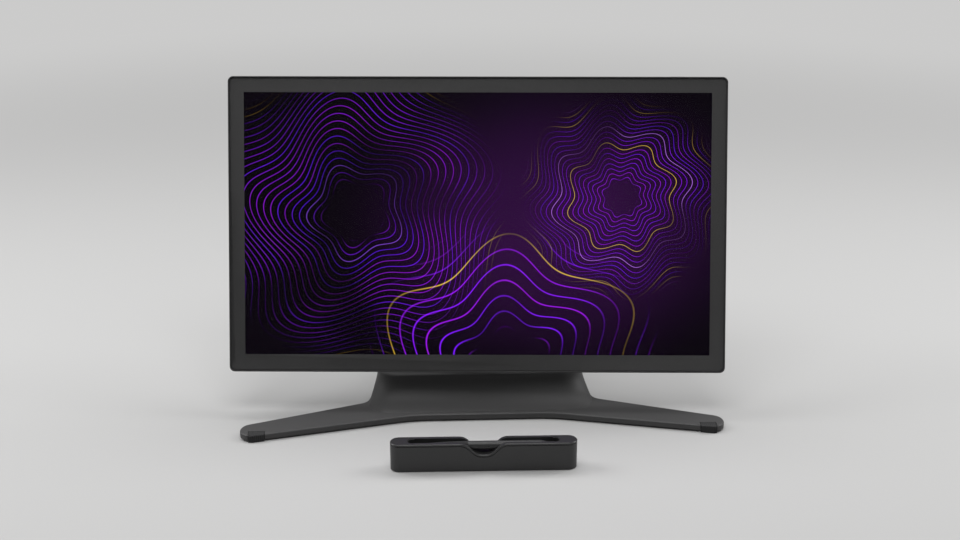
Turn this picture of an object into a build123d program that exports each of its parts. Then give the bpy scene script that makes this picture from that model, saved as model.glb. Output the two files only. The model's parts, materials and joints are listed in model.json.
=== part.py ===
from build123d import *
import os
from math import cos, radians, sin, tan

# A pen display on its stand, with its pen holder and pen, in millimetres.
# Each group is modelled in a plain frame of its own and then put in its place at rest.

# Pose at rest
RECLINE = 17.5
SWIVEL_REST = 3.0
SWIVEL_RANGE = 20.0
HOLDER_TURN = 0.84

# Shared clearances and overruns
CUT = 20.0
RUN_GAP = 0.05
FIX_GAP = 0.04
SLIDE_GAP = 0.25
SEAT_GAP = 0.3
HEX_SIDES = 6

# Display case
CASE_W = 638.0
CASE_H = 379.0
CASE_T = 31.0
CASE_R = 7.0
CASE_EDGE = 0.6
CENTRE_Z = 242.1
CENTRE_REACH = 60.0

# Front stack of the display, from the glass backwards
RIM_W = 1.3
GLASS_GAP = 0.2
GLASS_T = 2.0
MASK_T = 0.4
MASK_INSET = 1.0
LCD_T = 1.6
BACKLIGHT_T = 5.0
SENSOR_T = 1.2
SHIELD_T = 0.8
FLOOR_T = 2.5
BORDER_SIDE = 20.0
BORDER_END = 21.3
ACTIVE_RAISE = 1.1
PANEL_MARGIN = 3.3
PANEL_GAP = 0.8
PANEL_R = 2.0
FLOOR_SLOT_W = 90.0
FLOOR_SLOT_H = 14.0
FLOOR_SLOT_Z = -60.0

# Rear cover
COVER_WALL = 2.2
BACK_INSET = 19.0
BACK_R = 14.0
BACK_EDGE = 2.0
INTAKE_COUNT = 32
INTAKE_W = 3.0
INTAKE_H = 16.0
INTAKE_PITCH = 6.4
INTAKE_UP = 66.5
GRILLE_W = 264.0
GRILLE_H = 20.0
GRILLE_T = 1.8
GRILLE_DOWN = 29.5
GRILLE_R = 4.0
GRILLE_SLOTS = 41
GRILLE_SLOT_W = 3.4
GRILLE_FRAME = 3.0
GRILLE_LIP = 2.4

# Port bay in the back, where the leads plug in
BAY_W = 176.0
BAY_H = 34.0
BAY_DEPTH = 15.0
BAY_UP = 26.5
BAY_WALL = 1.6
BAY_R = 3.0
SOCKET_WIDTHS = (15.2, 9.2, 9.2, 17.0, 12.4)
SOCKET_HEIGHTS = (5.8, 3.6, 3.6, 6.2, 7.4)
SOCKET_PITCH = 30.0
SOCKET_DEPTH = 12.0
SOCKET_PROUD = 0.6
SOCKET_WALL = 0.7
SOCKET_TONGUE = 1.2
SOCKET_BACK = 6.2
SOCKET_CORNER_SHARE = 0.3
PORT_BOARD_W = 170.0
PORT_BOARD_H = 24.0
BOARD_T = 1.6

# Electronics behind the panel
MAIN_W = 210.0
MAIN_H = 78.0
MAIN_DOWN = 65.0
MAIN_LIFT = 5.0
POST_R = 3.0
POST_INSET = 6.0
CHIP_W = 34.0
CHIP_T = 3.0
CHIP_X = 40.0
MEMORY_W = 14.0
MEMORY_T = 1.4
MEMORY_COUNT = 4
MEMORY_PITCH = 16.5
SINK_W = 226.0
SINK_H = 20.0
SINK_BASE_T = 3.0
SINK_GAP = 1.0
FIN_COUNT = 36
FIN_T = 0.8
PIPE_R = 2.5
PIPE_INTO = 8.0

# Fans
FAN_X = 178.0
FAN_RAISE = 4.0
FAN_BOX = 72.0
FAN_BOX_R = 6.0
FAN_BOX_T = 11.0
FAN_WALL = 1.6
FAN_BORE_R = 32.0
FAN_POST_R = 2.2
ROTOR_R = 30.0
ROTOR_T = 8.0
HUB_R = 11.0
BLADE_COUNT = 11
BLADE_T = 1.4
BLADE_LEAN = 25.0
RING_W = 1.6

# Grips and keys on the back
GRIP_W = 27.0
GRIP_H = 172.0
GRIP_T = 6.0
GRIP_R = 9.0
GRIP_ROUND = 2.2
GRIP_INSET = 17.0
GRIP_Z = 0.0
KEY_COUNT = 4
KEY_W = 14.0
KEY_H = 20.0
KEY_R = 2.5
KEY_T = 5.2
KEY_PITCH = 31.0
KEY_PROUD = 0.6
KEY_TRAVEL = 0.6
KEY_ROUND = 0.8

# Power button on the top edge
POWER_INSET = 64.0
POWER_W = 18.0
POWER_D = 5.0
POWER_H = 3.8
POWER_PROUD = 0.4
POWER_TRAVEL = 0.6
POWER_DEEP = 6.8

# Threaded accessory inserts in the sides
INSERT_R = 4.8
INSERT_L = 9.0
INSERT_THREAD_R = 2.6
INSERT_UP = 61.7
INSERT_DEEP = 7.6

# Tilt hinge
HINGE_BEHIND = 57.0
HINGE_RAISE = -30.0
BRACKET_W = 142.0
BRACKET_H = 116.0
BRACKET_T = 4.0
BRACKET_R = 8.0
BRACKET_PITCH = 100.0
BRACKET_SCREW_R = 2.0
BRACKET_HEAD_R = 4.0
BRACKET_HEAD_T = 2.4
BOSS_R = 5.5
KNUCKLE_R = 13.0
KNUCKLE_W = 12.0
KNUCKLE_FOOT = 44.0
BARREL_R = 15.0
BARREL_HALF = 38.0
SHAFT_R = 6.0
DISC_R = 11.5
DISC_T = 1.0
DISC_COUNT = 3
NUT_R = 10.0
NUT_T = 6.0
SHAFT_PROUD = 2.0

# Head column and its covers
COLUMN_FOOT_W = 76.0
COLUMN_FOOT_D = 44.0
COLUMN_TOP_W = 72.0
COLUMN_TOP_D = 20.0
COLUMN_R = 4.0
COLUMN_WALL = 4.0
SHROUD_FOOT_W = 94.0
SHROUD_FOOT_D = 66.0
SHROUD_TOP_W = 90.0
SHROUD_TOP_D = 38.0
SHROUD_R = 14.0
SHROUD_WALL = 2.4
SHROUD_CLEAR = 3.0

# Swivel
TABLE_R = 56.0
TABLE_T = 6.0
RACE_R = 51.0
RACE_BORE_R = 37.0
RACE_T = 3.0
RACE_SUNK = 1.0
SPINDLE_R = 14.0
SPINDLE_NUT_R = 20.0
SPINDLE_NUT_T = 4.0
SPINDLE_BOSS_R = 24.0
SPINDLE_BOSS_H = 8.0
STOP_R = 2.5
STOP_REACH = 27.0
STOP_RISE = 5.0
STOP_SUNK = 6.0

# Stand base
PAD_T = 2.5
PLATE_TOP = 10.0
PLATE_EDGE = 1.2
PLATE_FRONT = 132.5
FLAT_HALF = 90.0
FRONT_SWEEP = 13.7
REAR_SWEEP = 21.4
LEG_SPAN = 615.0
ROOT_HALF = 149.3
ROOT_FRONT = 91.5
TAIL_HALF = 104.0
TAIL_BACK = 84.0
BEND_R = 150.0
TIP_R = 15.5
ROOT_R = 16.0
TAIL_R = 34.0
HUMP_SUNK = 1.5
HUMP_TOP = 44.0
HUMP_FOOT_HALF = 158.0
HUMP_TOP_HALF = 154.0
HUMP_FOOT_FRONT = 129.5
HUMP_TOP_FRONT = 84.0
HUMP_FOOT_BACK = 67.0
HUMP_TOP_BACK = 60.0
HUMP_FOOT_TAIL = 98.0
HUMP_TOP_TAIL = 82.0
HUMP_R = 30.0
HUMP_CROWN = 4.0
HUMP_SIDE_SHARES = (0.0, 0.1, 0.25, 0.45, 0.7, 1.0)
HUMP_COVE = 2.2
HUMP_WALL = 4.0
LEDGE_W = 5.0
BASE_COVER_T = 2.0
BASE_SCREW_R = 1.6
BASE_SCREW_HEAD_R = 3.0
BASE_SCREW_FRONT_X = 100.0
BASE_SCREW_FRONT = 66.0
BASE_SCREW_BACK_X = 62.0
BASE_SCREW_BACK = 34.0
BASE_POST_R = 5.0
BASE_SCREW_L = 14.0

# Feet
FRONT_PAD_X = 286.0
FRONT_PAD_W = 21.0
FRONT_PAD_DEEP = 11.0
FRONT_PAD_SUNK = 0.3
FRONT_PAD_PROUD = 0.7
FRONT_PAD_GAP = 0.5
FRONT_PAD_EDGE = 0.8
REAR_PAD_R = 8.0
REAR_PAD_X = 66.0
REAR_PAD_BACK = 74.5

# Cable clip on the tail
CLIP_W = 30.0
CLIP_D = 15.0
CLIP_H = 14.0
CLIP_SLOT = 8.0
CLIP_WALL = 2.5

# Pen holder
HOLDER_X = -4.1
HOLDER_FRONT = 258.2
HOLDER_L = 226.0
HOLDER_R = 11.0
HOLDER_H = 36.7
HOLDER_WALL = 2.2
HOLDER_PAD_T = 1.2
HOLDER_PAD_INSET = 2.4
HOLDER_BASE_T = 3.0
HOLDER_EDGE = 0.9
SEAM = 0.8
LIP = 2.5
NOTCH_DEPTH = 14.6
NOTCH_TOP_HALF = 30.0
NOTCH_FLOOR_HALF = 2.0
CUP_R = 5.2
CUP_RIM_R = 6.4
CUP_RIM_DEEP = 0.7
CUP_X = 86.4
CUP_FLOOR = 12.0

# Pen
PEN_L = 156.0
PEN_R = 5.5
PEN_AXIS_Z = 29.7
PEN_GAP = 0.3
TAIL_L = 9.0
TAIL_END_R = 3.4
TAIL_ROUND = 1.1
GRIP_END_R = 3.6
GRIP_START = 11.0
GRIP_L = 48.0
GRIP_WAIST_R = 4.9
GRIP_WALL = 1.2
NOSE_END_R = 1.7
NIB_R = 0.8
NIB_L = 16.0
NIB_PROUD = 2.0
NIB_TRAVEL = 0.8
PEN_KEY_L = 6.6
PEN_KEY_W = 3.6
PEN_KEY_GAP = 0.5
PEN_KEY_DEEP = 2.2
PEN_KEY_PROUD = 0.35
PEN_KEY_TRAVEL = 0.3
PEN_KEY_TURN = -13.0

# Spare nibs kept in the holder's base
SPARE_COUNT = 5
SPARE_PITCH = 5.0
SPARE_L = 14.0
SPARE_X = 30.0

# Sizes that follow from the ones above
MASK_Y = GLASS_T
LCD_Y = MASK_Y + MASK_T
BACKLIGHT_Y = LCD_Y + LCD_T
SENSOR_Y = BACKLIGHT_Y + BACKLIGHT_T
SHIELD_Y = SENSOR_Y + SENSOR_T
FLOOR_Y = SHIELD_Y + SHIELD_T
CHASSIS_Y = FLOOR_Y + FLOOR_T
INSIDE_Y = CASE_T - COVER_WALL
GLASS_W = CASE_W - 2 * (RIM_W + GLASS_GAP)
GLASS_H = CASE_H - 2 * (RIM_W + GLASS_GAP)
GLASS_R = CASE_R - RIM_W
ACTIVE_W = CASE_W - 2 * BORDER_SIDE
ACTIVE_H = CASE_H - 2 * BORDER_END
PANEL_W = ACTIVE_W + 2 * PANEL_MARGIN
PANEL_H = ACTIVE_H + 2 * PANEL_MARGIN
BACK_W = CASE_W - 2 * BACK_INSET
BACK_H = CASE_H - 2 * BACK_INSET
GRILLE_Z = BACK_H / 2 - GRILLE_DOWN
MAIN_Z = GRILLE_Z - MAIN_DOWN
FAN_Z = MAIN_Z + FAN_RAISE
INTAKE_Z = INTAKE_UP - BACK_H / 2
BAY_Z = BAY_UP - BACK_H / 2
GRIP_X = BACK_W / 2 - GRIP_INSET
GRIP_TOP = CASE_T + GRIP_T
POWER_X = CASE_W / 2 - POWER_INSET
KNUCKLE_X = BARREL_HALF + DISC_COUNT * DISC_T + RUN_GAP
NUT_X = KNUCKLE_X + KNUCKLE_W + RUN_GAP
HINGE_Y = (
    HINGE_BEHIND * cos(radians(RECLINE)) + HINGE_RAISE * sin(radians(RECLINE)) - CENTRE_REACH
)
HINGE_Z = (
    CENTRE_Z - HINGE_BEHIND * sin(radians(RECLINE)) + HINGE_RAISE * cos(radians(RECLINE))
)
TABLE_Z = HUMP_TOP - RACE_SUNK + RACE_T + RUN_GAP
COLUMN_Z = TABLE_Z + TABLE_T
SHROUD_Z = HINGE_Z - BARREL_R - SHROUD_CLEAR
SEAT_R = PEN_R + PEN_GAP
TROUGH_HALF = CUP_X - CUP_R / 2
POWER_DEPTH = POWER_H - POWER_PROUD + POWER_TRAVEL + SEAT_GAP
LEG_HALF = LEG_SPAN / 2

# Places of the groups, the stand's own frame having its origin under the swivel axis
STAND = Location((0, 0, 0))
HEAD = Rot(Z=-SWIVEL_REST)
DISPLAY = HEAD * Pos(0, -CENTRE_REACH, CENTRE_Z) * Rot(X=-RECLINE)
HOLDER = Pos(HOLDER_X, -HOLDER_FRONT, 0) * Rot(Z=-HOLDER_TURN)
PEN = HOLDER * Pos(0, 0, PEN_AXIS_Z)


def block(x_from, x_to, y_from, y_to, z_from, z_to):
    """A box between two opposite corners."""
    low = (Align.MIN, Align.MIN, Align.MIN)
    return Pos(x_from, y_from, z_from) * Box(
        x_to - x_from, y_to - y_from, z_to - z_from, align=low
    )


def plate(width, height, radius, y_from, y_to, x=0, z=0):
    """A round-cornered plate parallel to the screen."""
    outline = Pos(x, z) * RectangleRounded(width, height, radius)
    return extrude(Plane.XZ.offset(-y_to) * outline, amount=y_to - y_from)


def rod_x(radius, x_from, x_to, y=0, z=0):
    """A round rod along X."""
    return extrude(Plane.YZ.offset(x_from) * (Pos(y, z) * Circle(radius)), amount=x_to - x_from)


def rod_y(radius, y_from, y_to, x=0, z=0):
    """A round rod along Y."""
    return extrude(Plane.XZ.offset(-y_to) * (Pos(x, z) * Circle(radius)), amount=y_to - y_from)


def rod_z(radius, z_from, z_to, x=0, y=0):
    """A round rod along Z."""
    return extrude(Plane.XY.offset(z_from) * (Pos(x, y) * Circle(radius)), amount=z_to - z_from)


def mirrored(corners):
    """A closed outline's corners, from those on its right half."""
    return corners + [(-x, y) for x, y in reversed(corners)]


# Stand

def leg_outline(grow=0):
    """The plate's plan: two swept legs in front and a blunt tail behind."""
    tip_x = LEG_HALF + grow
    front = -PLATE_FRONT - grow
    root = -ROOT_FRONT + grow
    corners = [
        (FLAT_HALF, front),
        (tip_x, front - (tip_x - FLAT_HALF) * tan(radians(FRONT_SWEEP))),
        (tip_x, root - (tip_x - ROOT_HALF) * tan(radians(REAR_SWEEP))),
        (ROOT_HALF, root),
        (TAIL_HALF, TAIL_BACK),
    ]
    radii = [BEND_R, TIP_R, TIP_R, ROOT_R, TAIL_R]
    return make_face(
        FilletPolyline(mirrored(corners), radius=radii + radii[::-1], close=True)
    )


def hump_section(share, inset):
    """The hump's section at a share of its height, with a coved foot."""
    flare = (1 - share) ** HUMP_COVE
    half = HUMP_TOP_HALF + (HUMP_FOOT_HALF - HUMP_TOP_HALF) * flare - inset
    front = HUMP_TOP_FRONT + (HUMP_FOOT_FRONT - HUMP_TOP_FRONT) * flare - inset
    back = HUMP_TOP_BACK + (HUMP_FOOT_BACK - HUMP_TOP_BACK) * flare - inset
    tail = HUMP_TOP_TAIL + (HUMP_FOOT_TAIL - HUMP_TOP_TAIL) * flare - inset
    corners = [(half, -front), (tail, back)]
    return make_face(FilletPolyline(mirrored(corners), radius=HUMP_R, close=True))


def hump(inset, z_from, z_to):
    """The hump between the legs, or the hollow inside it."""
    return loft(
        [
            Pos(0, 0, z_from + (z_to - z_from) * share) * hump_section(share, inset)
            for share in HUMP_SIDE_SHARES
        ]
    )


def front_pad_region(grow, x_grow):
    """The patch of leg near its tip that the front pad wraps."""
    half = FRONT_PAD_W / 2 + x_grow
    front = -PLATE_FRONT - (FRONT_PAD_X - FLAT_HALF) * tan(radians(FRONT_SWEEP))
    patch = Pos(FRONT_PAD_X, front) * Rectangle(2 * half, 2 * FRONT_PAD_DEEP)
    return leg_outline(grow) & patch


def base_screw_places():
    """Places of the screws that hold the base cover."""
    front = [(side * BASE_SCREW_FRONT_X, -BASE_SCREW_FRONT) for side in (-1, 1)]
    back = [(side * BASE_SCREW_BACK_X, BASE_SCREW_BACK) for side in (-1, 1)]
    return front + back


def stand_base():
    """One casting: plate, legs and hollow hump, open below."""
    plate_body = extrude(Plane.XY.offset(PAD_T) * leg_outline(), amount=PLATE_TOP - PAD_T)
    top_edges = plate_body.faces().sort_by(Axis.Z)[-1].edges()
    body = chamfer(top_edges, PLATE_EDGE)
    crown = hump(0, PLATE_TOP - HUMP_SUNK, HUMP_TOP)
    crown = fillet(crown.faces().sort_by(Axis.Z)[-1].edges(), HUMP_CROWN)
    body = body + crown
    inside_top = HUMP_TOP - HUMP_WALL
    body -= hump(HUMP_WALL + LEDGE_W, 0, inside_top)
    body -= extrude(Plane.XY.offset(PAD_T) * base_cover_outline(FIX_GAP), amount=BASE_COVER_T)
    body += rod_z(SPINDLE_BOSS_R, inside_top + HUMP_WALL - SPINDLE_BOSS_H, HUMP_TOP)
    body -= rod_z(SPINDLE_R + RUN_GAP, 0, HUMP_TOP + CUT)
    race_z = HUMP_TOP - RACE_SUNK
    race_seat = rod_z(RACE_R, race_z, HUMP_TOP + CUT) - rod_z(RACE_BORE_R, 0, HUMP_TOP + CUT)
    body -= race_seat
    body -= rod_z(STOP_R, HUMP_TOP - STOP_SUNK, HUMP_TOP + CUT, y=-STOP_REACH)
    for x, y in base_screw_places():
        post = rod_z(BASE_POST_R, PAD_T + BASE_COVER_T, HUMP_TOP - HUMP_WALL / 2, x, y)
        body += post
        body -= rod_z(BASE_SCREW_R, 0, PAD_T + BASE_SCREW_L, x, y)
    pad = front_pad_region(FRONT_PAD_PROUD, 0)
    for side in (-1, 1):
        cut = extrude(Plane.XY * pad, amount=PLATE_TOP)
        body -= cut if side > 0 else mirror(cut, Plane.YZ)
    return body


def base_cover_outline(gap):
    """The base cover's plan, a ledge wider than the hollow above it."""
    corners = [
        (HUMP_FOOT_HALF - HUMP_WALL + gap, -HUMP_FOOT_FRONT + HUMP_WALL - gap),
        (HUMP_FOOT_TAIL - HUMP_WALL + gap, HUMP_FOOT_BACK - HUMP_WALL + gap),
    ]
    return make_face(FilletPolyline(mirrored(corners), radius=HUMP_R, close=True))


def base_cover_plate():
    """Steel plate that closes the base from below."""
    body = extrude(Plane.XY.offset(PAD_T) * base_cover_outline(-FIX_GAP), amount=BASE_COVER_T)
    for x, y in base_screw_places():
        body -= rod_z(BASE_SCREW_HEAD_R, 0, PAD_T + BASE_COVER_T / 2, x, y)
        body -= rod_z(BASE_SCREW_R + FIX_GAP, 0, PLATE_TOP, x, y)
    return body


def base_screw(x, y):
    """A screw of the base cover, head down."""
    head = rod_z(BASE_SCREW_HEAD_R - FIX_GAP, PAD_T, PAD_T + BASE_COVER_T / 2, x, y)
    return head + rod_z(BASE_SCREW_R - FIX_GAP, PAD_T, PAD_T + BASE_SCREW_L, x, y)


def foot_pad_front(side):
    """Rubber pad let into a leg's front edge near the tip."""
    outline = front_pad_region(FRONT_PAD_PROUD, -FRONT_PAD_GAP)
    pad = extrude(outline, amount=PLATE_TOP - FRONT_PAD_SUNK)
    top = pad.faces().sort_by(Axis.Z)[-1]
    pad = chamfer(top.edges().sort_by(Axis.Y)[0], FRONT_PAD_EDGE)
    return pad if side > 0 else mirror(pad, Plane.YZ)


def foot_pad_rear(side):
    """Round rubber pad under the tail."""
    return rod_z(REAR_PAD_R, 0, PAD_T, side * REAR_PAD_X, REAR_PAD_BACK)


def swivel_race():
    """Plain bearing ring that the turntable slides on."""
    race_z = HUMP_TOP - RACE_SUNK
    ring = rod_z(RACE_R - FIX_GAP, race_z, race_z + RACE_T)
    return ring - rod_z(RACE_BORE_R + FIX_GAP, 0, race_z + CUT)


def swivel_stop_pin():
    """Pin in the base that limits the turntable's travel."""
    return rod_z(STOP_R, HUMP_TOP - STOP_SUNK, HUMP_TOP + STOP_RISE, y=-STOP_REACH)


def cable_clip():
    """Open clip for the leads, on the plate's tail."""
    back = TAIL_BACK - PLATE_EDGE
    body = block(-CLIP_W / 2, CLIP_W / 2, back - CLIP_D, back, PLATE_TOP, PLATE_TOP + CLIP_H)
    body = fillet(body.edges().filter_by(Axis.Z), CLIP_WALL / 2)
    middle = back - CLIP_D / 2
    floor = PLATE_TOP + CLIP_WALL
    slot_y = CLIP_SLOT / 2
    return body - block(-CUT, CUT, middle - slot_y, middle + slot_y, floor, floor + CLIP_H)


# Swivelling head

def swivel_plate():
    """Turntable with the slot that the stop pin runs in."""
    body = rod_z(TABLE_R, TABLE_Z, COLUMN_Z) - rod_z(SPINDLE_R, 0, COLUMN_Z + CUT)
    body = chamfer(body.faces().sort_by(Axis.Z)[-1].outer_wire().edges(), PLATE_EDGE)
    sweep_angle = 2 * SWIVEL_RANGE
    path = CenterArc((0, 0), STOP_REACH, -90 - SWIVEL_RANGE, sweep_angle)
    slot = SlotArc(path, 2 * (STOP_R + SLIDE_GAP))
    return body - extrude(Plane.XY.offset(TABLE_Z - CUT) * slot, amount=CUT + TABLE_T / 2)


def swivel_spindle():
    """Steel spindle that holds the turntable down on its race."""
    return rod_z(SPINDLE_R - FIX_GAP, spindle_nut_z(), COLUMN_Z)


def spindle_nut_z():
    """Height of the spindle nut's lower face."""
    return HUMP_TOP - SPINDLE_BOSS_H - RUN_GAP - SPINDLE_NUT_T


def spindle_nut():
    """Ring nut below the boss."""
    z = spindle_nut_z()
    hexagon = Plane.XY.offset(z) * RegularPolygon(SPINDLE_NUT_R, HEX_SIDES)
    return extrude(hexagon, amount=SPINDLE_NUT_T) - rod_z(SPINDLE_R, 0, HUMP_TOP)


def column_section(width, depth, radius, y, z):
    """One level of the column or of its covers."""
    return Pos(0, y, z) * RectangleRounded(width, depth, radius)


def column_body(grow, z_top):
    """The cast column, or a larger one that clears it."""
    foot = column_section(
        COLUMN_FOOT_W + 2 * grow, COLUMN_FOOT_D + 2 * grow, COLUMN_R, HINGE_Y / 2, COLUMN_Z
    )
    top = column_section(
        COLUMN_TOP_W + 2 * grow, COLUMN_TOP_D + 2 * grow, COLUMN_R, HINGE_Y, z_top
    )
    return loft([foot, top])


def head_column():
    """Cast column with the hinge barrel on top, hollow from below."""
    body = column_body(0, HINGE_Z)
    body -= column_body(-COLUMN_WALL, HINGE_Z) & block(
        -TABLE_R, TABLE_R, -TABLE_R, TABLE_R, 0, HINGE_Z - BARREL_R - COLUMN_WALL
    )
    body += rod_x(BARREL_R, -BARREL_HALF, BARREL_HALF, HINGE_Y, HINGE_Z)
    return body - rod_x(SHAFT_R, -TABLE_R, TABLE_R, HINGE_Y, HINGE_Z)


def shroud(inset, z_top):
    """Outer form of the column's covers."""
    foot = column_section(
        SHROUD_FOOT_W - 2 * inset, SHROUD_FOOT_D - 2 * inset, SHROUD_R - inset, HINGE_Y / 2, COLUMN_Z
    )
    top = column_section(
        SHROUD_TOP_W - 2 * inset, SHROUD_TOP_D - 2 * inset, SHROUD_R - inset, HINGE_Y, z_top
    )
    return loft([foot, top])


def column_covers():
    """The front and rear halves of the column's covers."""
    shell = shroud(0, SHROUD_Z) - shroud(SHROUD_WALL, SHROUD_Z - SHROUD_WALL)
    shell -= column_body(SEAT_GAP, HINGE_Z)
    split_y = HINGE_Y
    front = shell & block(-TABLE_R, TABLE_R, -2 * TABLE_R, split_y, 0, HINGE_Z)
    rear = shell & block(-TABLE_R, TABLE_R, split_y, 2 * TABLE_R, 0, HINGE_Z)
    return front, rear


def tilt_shaft():
    """Steel shaft through the barrel and both knuckles."""
    half = NUT_X + NUT_T + SHAFT_PROUD
    return rod_x(SHAFT_R - FIX_GAP, -half, half, HINGE_Y, HINGE_Z)


def tilt_disc(side, index):
    """One friction disc between barrel and knuckle."""
    start = BARREL_HALF + index * DISC_T
    disc = rod_x(DISC_R, start, start + DISC_T, HINGE_Y, HINGE_Z)
    disc -= rod_x(SHAFT_R, 0, KNUCKLE_X, HINGE_Y, HINGE_Z)
    return disc if side > 0 else mirror(disc, Plane.YZ)


def tilt_nut(side):
    """Nut that sets the tilt friction."""
    hexagon = Pos(HINGE_Y, HINGE_Z) * RegularPolygon(NUT_R, HEX_SIDES)
    nut = extrude(Plane.YZ.offset(NUT_X) * hexagon, amount=NUT_T)
    nut -= rod_x(SHAFT_R, 0, NUT_X + NUT_T, HINGE_Y, HINGE_Z)
    return nut if side > 0 else mirror(nut, Plane.YZ)


# Display

def cover_glass():
    """Etched glass over the whole front."""
    glass = plate(GLASS_W, GLASS_H, GLASS_R, 0, GLASS_T)
    return chamfer(glass.faces().sort_by(Axis.Y)[0].edges(), GLASS_GAP)


def border_mask():
    """Printed border behind the glass, open over the picture."""
    mask = plate(GLASS_W - 2 * MASK_INSET, GLASS_H - 2 * MASK_INSET, GLASS_R, MASK_Y, LCD_Y)
    return mask - block(
        -ACTIVE_W / 2,
        ACTIVE_W / 2,
        0,
        CASE_T,
        ACTIVE_RAISE - ACTIVE_H / 2,
        ACTIVE_RAISE + ACTIVE_H / 2,
    )


def panel_layer(y_from, y_to):
    """A layer of the panel stack."""
    return plate(PANEL_W, PANEL_H, PANEL_R, y_from, y_to, z=ACTIVE_RAISE)


def bracket_places():
    """Places of the four screws of the hinge bracket."""
    half = BRACKET_PITCH / 2
    return [(x, HINGE_RAISE + z) for x in (-half, half) for z in (-half, half)]


def chassis_frame():
    """Magnesium tray that holds the glass and the panel."""
    body = plate(CASE_W, CASE_H, CASE_R, 0, CHASSIS_Y)
    body = chamfer(body.faces().sort_by(Axis.Y)[0].edges(), CASE_EDGE)
    opening_w = GLASS_W + 2 * GLASS_GAP
    opening_h = GLASS_H + 2 * GLASS_GAP
    body -= plate(opening_w, opening_h, GLASS_R + GLASS_GAP, -CUT, LCD_Y)
    pocket_w = PANEL_W + 2 * PANEL_GAP
    pocket_h = PANEL_H + 2 * PANEL_GAP
    body -= plate(pocket_w, pocket_h, PANEL_R, -CUT, FLOOR_Y, z=ACTIVE_RAISE)
    body -= plate(FLOOR_SLOT_W, FLOOR_SLOT_H, PANEL_R, 0, CASE_T, z=FLOOR_SLOT_Z)
    for x, z in bracket_places():
        body += rod_y(BOSS_R, CHASSIS_Y, INSIDE_Y, x, z)
        body -= rod_y(BRACKET_SCREW_R, FLOOR_Y, CASE_T, x, z)
    for side in (-1, 1):
        body -= insert_seat(side, FIX_GAP)
    power = plate(
        POWER_W + 2 * SLIDE_GAP,
        2 * POWER_DEPTH,
        SLIDE_GAP,
        POWER_DEEP - POWER_D / 2 - SLIDE_GAP,
        POWER_DEEP + POWER_D / 2 + SLIDE_GAP,
        POWER_X,
        CASE_H / 2,
    )
    return body - power


def insert_seat(side, gap):
    """A hexagonal plug in the display's side, or its seat with a gap round it."""
    turn = 180 / HEX_SIDES
    hexagon = RegularPolygon(INSERT_R + gap, HEX_SIDES, rotation=turn)
    place = Plane.YZ.offset(CASE_W / 2 - INSERT_L) * Pos(INSERT_DEEP, INSERT_UP - CASE_H / 2)
    plug = extrude(place * hexagon, amount=INSERT_L)
    return plug if side > 0 else mirror(plug, Plane.YZ)


def side_insert(side):
    """Threaded brass insert for an accessory screw."""
    z = INSERT_UP - CASE_H / 2
    thread = rod_x(INSERT_THREAD_R, CASE_W / 2 - INSERT_L, CASE_W / 2, INSERT_DEEP, z)
    return insert_seat(side, 0) - (thread if side > 0 else mirror(thread, Plane.YZ))


def power_button():
    """Power button in the top edge."""
    top = CASE_H / 2 + POWER_PROUD
    key = plate(
        POWER_W,
        POWER_H,
        SLIDE_GAP,
        POWER_DEEP - POWER_D / 2,
        POWER_DEEP + POWER_D / 2,
        POWER_X,
        top - POWER_H / 2,
    )
    return fillet(key.edges().filter_by(Axis.Z), SLIDE_GAP)


def cover_form(inset, y_from, y_to):
    """Form of the rear cover: sides drawn in towards the back, and a bevelled back edge."""
    front = RectangleRounded(CASE_W - 2 * inset, CASE_H - 2 * inset, CASE_R - inset)
    back = RectangleRounded(BACK_W - 2 * inset, BACK_H - 2 * inset, BACK_R - inset)
    flat_inset = inset + BACK_EDGE
    flat = RectangleRounded(BACK_W - 2 * flat_inset, BACK_H - 2 * flat_inset, BACK_R - flat_inset)
    return loft(
        [
            Plane.XZ.offset(-y_from) * front,
            Plane.XZ.offset(BACK_EDGE - y_to) * back,
            Plane.XZ.offset(-y_to) * flat,
        ],
        ruled=True,
    )


def upright_slot(width, height, x, z):
    """A round-ended upright slot through the back."""
    outline = Pos(x, z) * SlotOverall(height, width, rotation=90)
    return extrude(Plane.XZ.offset(-CASE_T - CUT) * outline, amount=CASE_T + CUT - CHASSIS_Y)


def rear_cover():
    """Back shell with its intake slots, port bay and grille window."""
    body = cover_form(0, CHASSIS_Y, CASE_T)
    body -= cover_form(COVER_WALL, CHASSIS_Y, INSIDE_Y)
    bay_front = CASE_T - BAY_DEPTH
    body += plate(
        BAY_W + 2 * BAY_WALL,
        BAY_H + 2 * BAY_WALL,
        BAY_R + BAY_WALL,
        bay_front - BAY_WALL,
        INSIDE_Y,
        z=BAY_Z,
    )
    body -= plate(BAY_W, BAY_H, BAY_R, bay_front, CASE_T + CUT, z=BAY_Z)
    for x, width, height in socket_rows():
        body -= socket_form(x, width + 2 * FIX_GAP, height + 2 * FIX_GAP, SOCKET_DEPTH)
    body -= plate(GRILLE_W, GRILLE_H, GRILLE_R, 0, CASE_T + CUT, z=GRILLE_Z)
    for index in range(INTAKE_COUNT):
        x = (index - (INTAKE_COUNT - 1) / 2) * INTAKE_PITCH
        body -= upright_slot(INTAKE_W, INTAKE_H, x, INTAKE_Z)
    for x, z in bracket_places():
        body -= rod_y(BRACKET_SCREW_R + FIX_GAP, CHASSIS_Y, CASE_T, x, z)
    return body


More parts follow.
